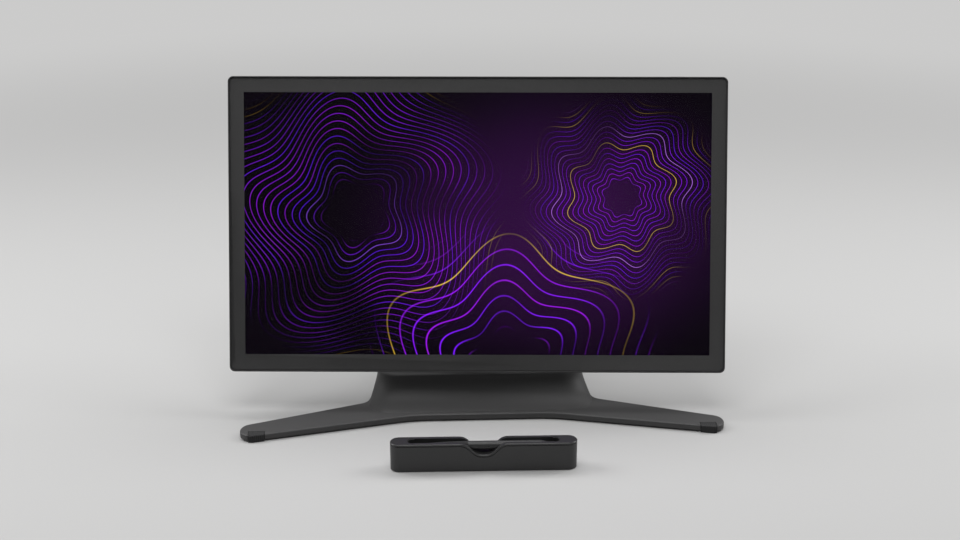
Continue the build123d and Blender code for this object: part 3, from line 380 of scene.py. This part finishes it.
def rubber(name, colour, grain, ribs=None, depth=0.05 * MM):
    """Matt rubber, plain or with ribs of a pitch along X."""
    gum = Finish(name)
    where = gum.where()
    soft = gum.soft(0.5 * MM)
    specks = gum.noise(where, grain, 3.0, 0.65)
    dust = gum.noise(where, 18 * MM, 4.0, 0.6)
    height = specks
    if ribs:
        across = gum.split(where)[0]
        height = specks * 0.4 + gum.ramp((across / ribs).math("PINGPONG", 0.5), 0.15, 0.35)
    body = gum.mix(specks * 0.4 + dust * 0.6, rgba(colour, 0.75), rgba(colour, 1.35))
    return gum.shade(
        {
            "Base Color": body,
            "Roughness": 0.78 + 0.14 * (specks - 0.5),
            "Specular IOR Level": 0.35,
            "Normal": gum.bump(height, depth, soft),
        }
    )


def brushed_metal(name, colour, rough, turn=None):
    """Metal with fine brush marks along X of its own turn."""
    metal = Finish(name)
    where = metal.where(turn, stretch=(40, 1, 1))
    plain = metal.where()
    marks = metal.noise(where, 0.35 * MM, 3.0, 0.6)
    stains = metal.noise(plain, 25 * MM, 3.0)
    soft = metal.soft(0.3 * MM)
    return metal.shade(
        {
            "Base Color": metal.mix(stains * 0.6 + marks * 0.4, rgba(colour, 0.8), rgba(colour, 1.2)),
            "Metallic": 1.0,
            "Roughness": rough + 0.14 * (marks - 0.5) + 0.1 * (stains - 0.5),
            "Normal": metal.bump(marks, 0.01 * MM, soft),
        }
    )


def threaded_brass(name, colour, turn):
    """Turned brass with a thread's grooves along X of its own turn."""
    brass = Finish(name)
    where = brass.where(turn)
    along = brass.split(where)[0]
    groove = (along / THREAD_PITCH).math("PINGPONG", 0.5) * 2.0
    tarnish = brass.noise(where, 2.5 * MM, 3.0)
    return brass.shade(
        {
            "Base Color": brass.mix(tarnish, rgba(colour, 0.7), rgba(colour, 1.15)),
            "Metallic": 1.0,
            "Roughness": 0.26 + 0.16 * tarnish,
            "Normal": brass.bump(groove, 0.35 * MM),
        }
    )


def circuit_board(name, mask, tin):
    """Solder mask over copper tracks, with tinned pads."""
    board = Finish(name)
    where = board.where(DISPLAY_TURN, PANEL_MIDDLE)
    x, _, z = board.split(where)
    lane = board.chance((z / LANE).math("FLOOR"))
    track = board.ramp((z / LANE).math("PINGPONG", 0.5), 0.34, 0.38)
    run = board.chance(((x + lane * 0.1) / TRACK_RUN).math("FLOOR") + lane * 97)
    tracks = track * board.ramp(run, 0.45, 0.5)
    pads = board.ramp(board.cells(where, PAD_PITCH), 0.2, 0.16)
    body = board.mix(tracks, rgba(mask), rgba(mask, 1.9))
    return board.shade(
        {
            "Base Color": board.mix(pads, body, rgba(tin)),
            "Metallic": pads,
            "Roughness": 0.42 - 0.1 * pads,
            "Normal": board.bump(tracks + pads, 0.04 * MM),
        }
    )


def smooth_plastic(name, colour, rough):
    """Satin moulded plastic with faint flow clouds."""
    plastic = Finish(name)
    where = plastic.where()
    soft = plastic.soft(0.35 * MM)
    fine = plastic.noise(where, 0.6 * MM, 2.0)
    clouds = plastic.noise(where, 30 * MM, 3.0)
    edge = plastic.edge_highlight(soft)
    body = plastic.mix(clouds * 0.7 + fine * 0.3, rgba(colour, 0.88), rgba(colour, 1.12))
    return plastic.shade(
        {
            # Painted highlight: the edges are lightened toward 1.7 times the plastic colour
            "Base Color": plastic.mix(edge * 0.4, body, rgba(colour, 1.7)),
            "Roughness": rough + 0.08 * (fine - 0.5) + 0.06 * (clouds - 0.5) - 0.05 * edge,
            "Normal": plastic.bump(fine, 0.012 * MM, soft),
        }
    )


def milky_plastic(name, colour):
    """Diffuser sheet."""
    sheet = Finish(name)
    grain = sheet.noise(sheet.where(), 0.8 * MM)
    return sheet.shade(
        {
            "Base Color": sheet.mix(grain, rgba(colour, 0.95), rgba(colour)),
            "Roughness": 0.45 + 0.1 * grain,
        }
    )


def ripples(across, up, rosette, pitch):
    """Closed lines round a heart: how far off each point is, its line and its reach."""
    x = across - rosette["heart"][0]
    z = up - rosette["heart"][1]
    reach = (x * x + z * z).math("SQRT")
    angle = z.math("ARCTAN2", x)
    swell = (angle * rosette["petals"] + reach * rosette["twist"]).math("SINE") * rosette["sway"]
    phase = reach * (1.0 + swell) / pitch
    line = phase.math("ROUND")
    return (phase - line).math("ABSOLUTE") * pitch, line, reach


def line_colour(picture, line, heart, look):
    """The colour of each line: violet to blue, and now and then lilac or gold."""
    odds = picture.chance(line + heart[0] * 991.0)
    hue = picture.chance(line * 1.7 + heart[1] * 613.0)
    tone = picture.mix(hue, rgba(look.violet), rgba(look.blue))
    tone = picture.mix(picture.ramp(hue, 0.84, 0.88), tone, rgba(look.lilac))
    return picture.mix(picture.ramp(odds, 0.86, 0.87), tone, rgba(look.gold))


def lit_picture(name, look):
    """Lit screen: rosettes of fine violet lines, a few of them gold, over a dark glow."""
    picture = Finish(name)
    where = picture.where(DISPLAY_TURN, PANEL_MIDDLE)
    across, _, up = picture.split(where)
    east = across - HAZE_EAST
    haze = picture.ramp((east * east + up * up * 2.0).math("SQRT"), HAZE_REACH, 0.0)
    drift = picture.noise(where, 200 * MM)
    light = picture.mix(haze * (0.5 + drift), rgba(look.glow, 0.06), rgba(look.glow, 1.3))
    for rosette in ROSETTES:
        pitch = look.pitch * rosette["spread"]
        off, line, reach = ripples(across, up, rosette, pitch)
        tone = line_colour(picture, line, rosette["heart"], look)
        mask = picture.ramp(off, rosette["width"], rosette["width"] * 0.25)
        rise = picture.ramp(reach, rosette["inner"], rosette["inner"] * 1.5)
        fall = picture.ramp(reach, rosette["outer"], rosette["outer"] * 0.6)
        sweep = picture.ramp(picture.noise(where, 110 * MM + pitch, 1.0), 0.36, 0.6, 0.12)
        light = picture.mix(mask * rise * fall * sweep, light, tone, "ADD")
    return picture.shade(
        {
            "Base Color": BLACK,
            "Roughness": 0.3,
            "Specular IOR Level": 0.0,
            "Emission Color": light,
            "Emission Strength": look.power,
        }
    )


def wear(material, *nodes):
    """Gives a material to CAD nodes."""
    for node in nodes:
        for slot in frame["nodes"][node].material_slots:
            slot.material = material


# Pieces of mesh

def stack(bm, place, levels, soften=None):
    """Rings of (radius, height, sides), joined one to the next, with closed ends."""
    loops = []
    for radius, height, sides in levels:
        matrix = place @ Matrix.Translation((0, 0, height))
        ring = bmesh.ops.create_circle(bm, segments=sides, radius=radius, matrix=matrix)["verts"]
        loops.append([bm.edges.get(pair) for pair in zip(ring, ring[1:] + ring[:1])])
    for lower, upper in zip(loops, loops[1:]):
        bmesh.ops.bridge_loops(bm, edges=lower + upper)
    for loop in (loops[0], loops[-1]):
        bmesh.ops.contextual_create(bm, geom=loop)
    for index, width in (soften or {}).items():
        bmesh.ops.bevel(
            bm,
            geom=loops[index],
            offset=width,
            offset_type="OFFSET",
            affect="EDGES",
            segments=3,
            profile=0.5,
            material=-1,
        )


def piece(name, bm, body, slot, material, *nodes):
    """Makes the finished piece, which rides on a body and stands for nodes."""
    bmesh.ops.recalc_face_normals(bm, faces=bm.faces)
    for face in bm.faces:
        face.smooth = True
    for edge in bm.edges:
        edge.smooth = edge.calc_face_angle(0.0) < CREASE
    mesh = bpy.data.meshes.new(name)
    bm.to_mesh(mesh)
    bm.free()
    mesh.materials.append(material)
    made = bpy.data.objects.new(name, mesh)
    bpy.context.scene.collection.objects.link(made)
    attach(made, body)
    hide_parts(*nodes)


def facing(point, turn, axis):
    """The place of a piece that stands on a point with its Z along an axis of a turn."""
    direction = (turn @ Vector(axis)).normalized()
    return Matrix.Translation(point) @ direction.to_track_quat("Z", "Y").to_matrix().to_4x4()


def socket_screw(bm, place, radius, height):
    """A low screw head with a hexagon socket."""
    key = radius * 0.52
    levels = (
        (radius, 0, ROUND_SIDES),
        (radius, height, ROUND_SIDES),
        (key * 1.12, height, ROUND_SIDES),
        (key, height * 0.9, HEX_SIDES),
        (key, height * 0.3, HEX_SIDES),
        (key * 0.4, height * 0.22, HEX_SIDES),
    )
    stack(bm, place, levels, {1: radius * 0.16})


def hex_nut(bm, place):
    """A chamfered nut round the tilt shaft."""
    rim = NUT_R * math.cos(math.pi / HEX_SIDES)
    lip = NUT_T * 0.1
    levels = (
        (SHAFT_R, 0, ROUND_SIDES),
        (rim, 0, ROUND_SIDES),
        (NUT_R, lip, HEX_SIDES),
        (NUT_R, NUT_T - lip, HEX_SIDES),
        (rim, NUT_T, ROUND_SIDES),
        (SHAFT_R * 1.08, NUT_T, ROUND_SIDES),
        (SHAFT_R, NUT_T - lip, ROUND_SIDES),
    )
    stack(bm, place, levels)


# Settings

def colour_setting(name, description, default):
    """A colour that the sidebar shows."""
    return FloatVectorProperty(
        name=name, description=description, subtype="COLOR", min=0, max=1, default=default
    )


class CaseSettings(bpy.types.PropertyGroup):
    """Colours and grain of the display's case."""

    paint: colour_setting("Paint", "Paint of the tray and its rim", (0.05, 0.049, 0.05))
    print_colour: colour_setting("Border", "Print of the border", (0.086, 0.085, 0.086))
    glass: colour_setting("Glass", "Tint of the cover glass", (0.03, 0.03, 0.032))
    cover: colour_setting("Cover", "Plastic of the back", (0.04, 0.04, 0.042))
    grip: colour_setting("Grips", "Rubber of the grips", (0.024, 0.024, 0.025))
    keys: colour_setting("Keys", "Plastic of the keys", (0.055, 0.055, 0.057))
    alpha: FloatProperty(
        name="Glass alpha",
        description="How much the etch of the glass covers",
        default=0.06,
        min=0,
        max=1,
        subtype="FACTOR",
    )
    pebble: FloatProperty(
        name="Pebble",
        description="Size of the cover's pebbles",
        default=0.55 * MM,
        min=0.1 * MM,
        max=5 * MM,
        precision=5,
        subtype="DISTANCE",
        unit="LENGTH",
    )


class InsideSettings(bpy.types.PropertyGroup):
    """Colours of what lies inside the case and of its metal parts."""

    mask: colour_setting("Boards", "Solder mask of the boards", (0.01, 0.055, 0.03))
    pads: colour_setting("Pads", "Tinned pads of the boards", (0.7, 0.52, 0.28))
    sheet: colour_setting("Sheet", "Aluminium of the shield and the sink", (0.66, 0.66, 0.67))
    fans: colour_setting("Fans", "Plastic of the fans", (0.018, 0.018, 0.018))
    diffuser: colour_setting("Diffuser", "Front sheet of the backlight", (0.82, 0.82, 0.82))
    nickel: colour_setting("Sockets", "Nickel of the sockets", (0.52, 0.51, 0.5))
    brass: colour_setting("Inserts", "Brass of the side threads", (0.6, 0.45, 0.2))


class PictureSettings(bpy.types.PropertyGroup):
    """Colours and lines of the lit picture."""

    glow: colour_setting("Glow", "Haze behind the lines", (0.017, 0.0022, 0.028))
    violet: colour_setting("Violet", "Most lines", (0.24, 0.005, 0.56))
    blue: colour_setting("Blue violet", "Cooler lines", (0.09, 0.008, 0.8))
    lilac: colour_setting("Lilac", "Palest lines", (0.45, 0.16, 0.8))
    gold: colour_setting("Gold", "The few warm lines", (0.62, 0.4, 0.03))
    pitch: FloatProperty(
        name="Pitch",
        description="Distance between lines",
        default=8.0 * MM,
        min=2 * MM,
        max=40 * MM,
        precision=4,
        subtype="DISTANCE",
        unit="LENGTH",
    )
    power: FloatProperty(
        name="Power", description="Strength of the light", default=1.5, min=0, max=10
    )


class StandSettings(bpy.types.PropertyGroup):
    """Colours of the stand and its hinge."""

    paint: colour_setting("Paint", "Paint of the base and column", (0.08, 0.079, 0.08))
    shroud: colour_setting("Covers", "Plastic of the column's covers", (0.045, 0.045, 0.047))
    foot: colour_setting("Feet", "Rubber of the feet", (0.042, 0.042, 0.043))
    steel: colour_setting("Steel", "Darkened steel", (0.16, 0.16, 0.165))
    bright: colour_setting("Bright steel", "Shaft, discs, nuts and screws", (0.5, 0.5, 0.51))
    screws: colour_setting("Base screws", "Steel of the base's screws", (0.3, 0.3, 0.31))
    coated: colour_setting("Base cover", "Coated sheet under the base", (0.03, 0.03, 0.031))
    race: colour_setting("Race", "Brass of the swivel's race", (0.55, 0.42, 0.2))
    grain: FloatProperty(
        name="Grain",
        description="Size of the paint's grain",
        default=0.45 * MM,
        min=0.1 * MM,
        max=5 * MM,
        precision=5,
        subtype="DISTANCE",
        unit="LENGTH",
    )


class HolderSettings(bpy.types.PropertyGroup):
    """Colours of the pen holder and the pen."""

    shell: colour_setting("Holder", "Plastic of the holder", (0.054, 0.054, 0.055))
    tray: colour_setting("Tray", "Plastic of the tray", (0.034, 0.034, 0.035))
    pen: colour_setting("Pen", "Plastic of the barrel", (0.04, 0.04, 0.041))
    sleeve: colour_setting("Sleeve", "Rubber of the pen's grip", (0.028, 0.028, 0.029))
    keys: colour_setting("Side keys", "Plastic of the side keys", (0.018, 0.018, 0.019))
    nibs: colour_setting("Nibs", "Plastic of the nibs", (0.03, 0.03, 0.03))


class StageSettings(bpy.types.PropertyGroup):
    """Floor, lamps and camera."""

    floor: colour_setting("Floor", "Colour of the floor and backdrop", (0.6, 0.598, 0.595))
    floor_radius: FloatProperty(
        name="Floor radius",
        description="How far the floor reaches",
        default=9.0,
        min=1,
        subtype="DISTANCE",
        unit="LENGTH",
    )
    near: FloatProperty(
        name="Lit floor",
        description="Distance up to which the lamps light the floor",
        default=0.7,
        min=0,
        subtype="DISTANCE",
        unit="LENGTH",
    )
    far: FloatProperty(
        name="Even floor",
        description="Distance from which the floor is evenly pale",
        default=2.6,
        min=0,
        subtype="DISTANCE",
        unit="LENGTH",
    )
    bounce: FloatProperty(
        name="Bounce",
        description="How much of the floor's paleness lights the underside of things",
        default=0.3,
        min=0,
        max=1,
        subtype="FACTOR",
    )
    key_power: FloatProperty(
        name="Key", description="Power of the front lamp", default=22.0, min=0, unit="POWER"
    )
    top_power: FloatProperty(
        name="Top", description="Power of the lamp above", default=24.0, min=0, unit="POWER"
    )
    side_power: FloatProperty(
        name="Side", description="Power of each side lamp", default=17.0, min=0, unit="POWER"
    )
    sky: FloatProperty(
        name="Sky", description="Strength of the soft light all round", default=0.15, min=0
    )
    lens: FloatProperty(
        name="Lens", description="Focal length of the camera", default=55.6, min=10, unit="CAMERA"
    )
    rings: IntProperty(
        name="Floor sides", description="Sides of the round floor", default=96, min=12
    )


# Operators

class PENDISPLAY_OT_front(bpy.types.Operator):
    """Dresses the rim, the cover glass and the border print"""

    bl_idname = "pen_display.front"
    bl_label = "Front"

    def execute(self, context):
        case = context.scene.pen_display_case
        rim = charcoal_paint("rim paint", case.paint, grain=0.4 * MM, rough=0.5)
        wear(rim, "chassis_frame")
        wear(etched_glass("etched glass", case.glass, case.alpha), "cover_glass")
        wear(border_print("border print", case.print_colour), "border_mask")
        return {"FINISHED"}


class PENDISPLAY_OT_picture(bpy.types.Operator):
    """Lights the panel with a picture of fine lines"""

    bl_idname = "pen_display.picture"
    bl_label = "Picture"

    def execute(self, context):
        look = context.scene.pen_display_picture
        wear(lit_picture("lit picture", look), "lcd_panel")
        return {"FINISHED"}


class PENDISPLAY_OT_inside(bpy.types.Operator):
    """Dresses the layers, boards, sink and fans inside the display"""

    bl_idname = "pen_display.inside"
    bl_label = "Inside"

    def execute(self, context):
        inside = context.scene.pen_display_inside
        boards = circuit_board("circuit board", inside.mask, inside.pads)
        sheet = brushed_metal("sheet aluminium", inside.sheet, rough=0.38)
        moulded = smooth_plastic("fan plastic", inside.fans, rough=0.45)
        wear(milky_plastic("diffuser", inside.diffuser), "backlight_unit")
        wear(boards, "pen_sensor_board", "main_board", "port_board")
        wear(sheet, "shield_plate", "heat_sink")
        wear(moulded, "fan_housings", "fan_rotor_left", "fan_rotor_right")
        return {"FINISHED"}


class PENDISPLAY_OT_back(bpy.types.Operator):
    """Dresses the rear cover, its grille, the grips, the keys and the sockets"""

    bl_idname = "pen_display.back"
    bl_label = "Back"

    def execute(self, context):
        case = context.scene.pen_display_case
        inside = context.scene.pen_display_inside
        cover = sparked_plastic(
            "cover plastic", case.cover, grain=case.pebble, rough=0.5, depth=0.05 * MM
        )
        keys = smooth_plastic("key plastic", case.keys, rough=0.42)
        nickel = brushed_metal("nickel", inside.nickel, rough=0.3, turn=DISPLAY_TURN)
        brass = threaded_brass("insert brass", inside.brass, turn=DISPLAY_TURN)
        wear(cover, "rear_cover", "vent_grille")
        gum = rubber("grip rubber", case.grip, grain=0.7 * MM)
        wear(gum, "rear_grip_left", "rear_grip_right")
        wear(keys, *[node for node in frame["nodes"] if node.startswith("rear_key_")])
        wear(keys, "power_button")
        wear(nickel, "port_sockets")
        wear(brass, "side_inserts")
        return {"FINISHED"}


class PENDISPLAY_OT_hinge(bpy.types.Operator):
    """Dresses the hinge and its bracket, with socket screws and chamfered nuts"""

    bl_idname = "pen_display.hinge"
    bl_label = "Hinge"

    def execute(self, context):
        stand = context.scene.pen_display_stand
        steel = brushed_metal("dark steel", stand.steel, rough=0.4, turn=DISPLAY_TURN)
        bright = brushed_metal("bright steel", stand.bright, rough=0.3, turn=HEAD_TURN)
        wear(steel, "hinge_bracket")
        wear(bright, "tilt_shaft", "tilt_discs")
        screws = bmesh.new()
        half = BRACKET_PITCH / 2
        for x in (-half, half):
            for z in (BRACKET_RAISE - half, BRACKET_RAISE + half):
                place = facing(on_display(x, BRACKET_FACE, z), DISPLAY_TURN, (0, 1, 0))
                socket_screw(screws, place, BRACKET_HEAD_R, BRACKET_HEAD_T)
        piece("bracket_socket_screws", screws, "display", "bracket_steel", bright, "bracket_screws")
        nuts = bmesh.new()
        heart = middle("tilt_nuts")
        for side in (-1, 1):
            inner = heart + HEAD_TURN @ Vector((side * NUT_X, 0, 0))
            hex_nut(nuts, facing(inner, HEAD_TURN, (side, 0, 0)))
        piece("chamfered_tilt_nuts", nuts, "head", "bracket_steel", bright, "tilt_nuts")
        return {"FINISHED"}


class PENDISPLAY_OT_stand(bpy.types.Operator):
    """Dresses the base, the swivel, the column, its covers and the feet"""

    bl_idname = "pen_display.stand"
    bl_label = "Stand"

    def execute(self, context):
        stand = context.scene.pen_display_stand
        paint = charcoal_paint("stand paint", stand.paint, grain=stand.grain, rough=0.5)
        shroud = sparked_plastic(
            "shroud plastic", stand.shroud, grain=0.5 * MM, rough=0.5, depth=0.04 * MM
        )
        steel = brushed_metal("swivel steel", stand.steel, rough=0.36, turn=HEAD_TURN)
        coated = charcoal_paint("coated sheet", stand.coated, grain=0.6 * MM, rough=0.45)
        brass = brushed_metal("race brass", stand.race, rough=0.34)
        tread = rubber(
            "foot rubber", stand.foot, grain=0.6 * MM, ribs=2.4 * MM, depth=0.25 * MM
        )
        wear(paint, "stand_base", "swivel_plate", "head_column")
        wear(shroud, "column_cover_front", "column_cover_rear", "cable_clip")
        wear(steel, "swivel_spindle", "spindle_nut", "swivel_stop_pin")
        wear(coated, "base_cover_plate")
        wear(brass, "swivel_race")
        wear(tread, "foot_pad_front_left", "foot_pad_front_right", "foot_pads_rear")
        return {"FINISHED"}


class PENDISPLAY_OT_base_screws(bpy.types.Operator):
    """Makes the socket screws of the base's cover"""

    bl_idname = "pen_display.base_screws"
    bl_label = "Base screws"

    def execute(self, context):
        stand = context.scene.pen_display_stand
        bright = brushed_metal("base screw steel", stand.screws, rough=0.35)
        low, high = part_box("base_cover_screws")
        centre = (low.x + high.x) / 2
        front_half = high.x - centre - BASE_HEAD_R
        rows = ((front_half, low.y + BASE_HEAD_R), (BASE_REAR_HALF, high.y - BASE_HEAD_R))
        screws = bmesh.new()
        flat = Matrix.Identity(3)
        for side in (-1, 1):
            for half, y in rows:
                point = (centre + side * half, y, low.z + BASE_HEAD_T)
                socket_screw(screws, facing(point, flat, (0, 0, -1)), BASE_HEAD_R, BASE_HEAD_T)
        piece("base_socket_screws", screws, "stand", "bracket_steel", bright, "base_cover_screws")
        return {"FINISHED"}


class PENDISPLAY_OT_holder(bpy.types.Operator):
    """Dresses the pen holder and the spare nibs in it"""

    bl_idname = "pen_display.holder"
    bl_label = "Pen holder"

    def execute(self, context):
        look = context.scene.pen_display_holder
        shell = sparked_plastic(
            "holder plastic", look.shell, grain=0.4 * MM, rough=0.46, depth=0.025 * MM
        )
        tray = smooth_plastic("tray plastic", look.tray, rough=0.34)
        wear(shell, "holder_shell")
        wear(tray, "holder_tray", "holder_base")
        wear(rubber("sole rubber", look.sleeve, grain=0.7 * MM, ribs=3 * MM), "holder_pad")
        wear(smooth_plastic("nib plastic", look.nibs, rough=0.4), "spare_nibs", "pen_nib")
        return {"FINISHED"}


class PENDISPLAY_OT_pen(bpy.types.Operator):
    """Dresses the pen"""

    bl_idname = "pen_display.pen"
    bl_label = "Pen"

    def execute(self, context):
        look = context.scene.pen_display_holder
        keys = smooth_plastic("side key plastic", look.keys, rough=0.25)
        wear(smooth_plastic("pen plastic", look.pen, rough=0.38), "pen_barrel", "pen_tail")
        wear(rubber("pen rubber", look.sleeve, grain=0.4 * MM, depth=0.03 * MM), "pen_grip")
        wear(keys, "pen_key_front", "pen_key_rear")
        return {"FINISHED"}


class PENDISPLAY_OT_stage(bpy.types.Operator):
    """Makes the floor, the soft lamps, the sky and the camera"""

    bl_idname = "pen_display.stage"
    bl_label = "Stage"

    def execute(self, context):
        look = context.scene.pen_display_stage
        self.floor(look)
        self.sky(context.scene, look)
        self.lamp("key_lamp", look.key_power, *KEY_LAMP)
        self.lamp("top_lamp", look.top_power, *TOP_LAMP)
        (x, y, z), size, target = SIDE_LAMP
        for name, side in (("left_lamp", -1), ("right_lamp", 1)):
            self.lamp(name, look.side_power, (side * x, y, z), size, target)
        self.camera(context.scene, look)
        context.scene.view_settings.view_transform = "Standard"
        return {"FINISHED"}

    def floor(self, look):
        """A round floor under everything, which glows evenly in the distance."""
        bm = bmesh.new()
        bmesh.ops.create_circle(bm, cap_ends=True, segments=look.rings, radius=look.floor_radius)
        mesh = bpy.data.meshes.new("floor")
        bm.to_mesh(mesh)
        bm.free()
        ground = Finish("floor")
        where = ground.where()
        grain = ground.noise(where, 3 * MM, 3.0)
        x, y, _ = ground.split(where)
        far = ground.ramp((x * x + y * y).math("SQRT"), look.near, look.far)
        ray = ground.add("ShaderNodeLightPath").output.node
        seen = Value(ground, ray.outputs["Is Camera Ray"])
        seen = seen.math("MAXIMUM", Value(ground, ray.outputs["Is Glossy Ray"]))
        seen = seen.math("MAXIMUM", Value(ground, ray.outputs["Is Transmission Ray"]))
        pale = ground.mix(grain, rgba(look.floor, 0.985), rgba(look.floor, 1.015))
        lit = ground.mix(seen, rgba(look.floor, look.bounce), pale)
        ground.shade(
            {
                "Base Color": ground.mix(far, lit, BLACK),
                "Roughness": 0.9,
                "Specular IOR Level": 0.0,
                "Emission Color": ground.mix(far * seen, BLACK, rgba(look.floor)),
                "Emission Strength": 1.0,
            }
        )
        mesh.materials.append(ground.material)
        made = bpy.data.objects.new("floor", mesh)
        bpy.context.scene.collection.objects.link(made)

    def sky(self, scene, look):
        """Soft light from all round, and a pale backdrop."""
        world = bpy.data.worlds.new("sky")
        world.use_nodes = True
        tree = world.node_tree
        light = tree.nodes["Background"]
        light.inputs["Color"].default_value = rgba((1.0, 1.0, 1.0))
        light.inputs["Strength"].default_value = look.sky
        backdrop = tree.nodes.new("ShaderNodeBackground")
        backdrop.inputs["Color"].default_value = rgba(look.floor)
        ray = tree.nodes.new("ShaderNodeLightPath")
        blend = tree.nodes.new("ShaderNodeMixShader")
        tree.links.new(ray.outputs["Is Camera Ray"], blend.inputs[0])
        tree.links.new(light.outputs[0], blend.inputs[1])
        tree.links.new(backdrop.outputs[0], blend.inputs[2])
        tree.links.new(blend.outputs[0], tree.nodes["World Output"].inputs["Surface"])
        scene.world = world

    def lamp(self, name, power, start, size, target):
        """A soft rectangular lamp that faces a target."""
        data = bpy.data.lights.new(name, "AREA")
        data.shape = "RECTANGLE"
        data.size, data.size_y = size
        data.energy = power
        made = bpy.data.objects.new(name, data)
        direction = Vector(target) - Vector(start)
        made.location = start
        made.rotation_euler = direction.to_track_quat("-Z", "Y").to_euler()
        bpy.context.scene.collection.objects.link(made)

    def camera(self, scene, look):
        """The photograph's camera, placed from the swivel's axis."""
        axis = middle("swivel_spindle")
        data = bpy.data.cameras.new("camera")
        data.lens = look.lens
        data.sensor_width = SENSOR_WIDTH
        made = bpy.data.objects.new("camera", data)
        made.location = (axis.x + CAMERA_ASIDE, axis.y + CAMERA_BACK, CAMERA_HEIGHT)
        made.rotation_euler = (CAMERA_TILT, 0, CAMERA_TURN)
        scene.collection.objects.link(made)
        scene.camera = made


# Sidebar

class PENDISPLAY_PT_sidebar(bpy.types.Panel):
    """Lists the settings and the steps"""

    bl_idname = "PENDISPLAY_PT_sidebar"
    bl_label = "Pen display"
    bl_space_type = "VIEW_3D"
    bl_region_type = "UI"
    bl_category = "Pen display"

    def draw(self, context):
        for name, kind in GROUPS.items():
            box = self.layout.box()
            box.label(text=kind.__doc__)
            settings = getattr(context.scene, name)
            for key in kind.__annotations__:
                box.prop(settings, key)
        for step in STEPS:
            self.layout.operator(step.bl_idname)


GROUPS = {
    "pen_display_case": CaseSettings,
    "pen_display_inside": InsideSettings,
    "pen_display_picture": PictureSettings,
    "pen_display_stand": StandSettings,
    "pen_display_holder": HolderSettings,
    "pen_display_stage": StageSettings,
}
STEPS = (
    PENDISPLAY_OT_front,
    PENDISPLAY_OT_picture,
    PENDISPLAY_OT_inside,
    PENDISPLAY_OT_back,
    PENDISPLAY_OT_hinge,
    PENDISPLAY_OT_stand,
    PENDISPLAY_OT_base_screws,
    PENDISPLAY_OT_holder,
    PENDISPLAY_OT_pen,
    PENDISPLAY_OT_stage,
)


def register():
    for kind in (*GROUPS.values(), *STEPS, PENDISPLAY_PT_sidebar):
        bpy.utils.register_class(kind)
    for name, kind in GROUPS.items():
        setattr(bpy.types.Scene, name, PointerProperty(type=kind))


def unregister():
    for name in GROUPS:
        delattr(bpy.types.Scene, name)
    for kind in (PENDISPLAY_PT_sidebar, *reversed(STEPS), *reversed(GROUPS.values())):
        bpy.utils.unregister_class(kind)


def main():
    """Registers everything and runs the steps in order."""
    register()
    for step in STEPS:
        name = step.bl_idname.split(".")[1]
        getattr(bpy.ops.pen_display, name)()


if __name__ == "__main__":
    main()
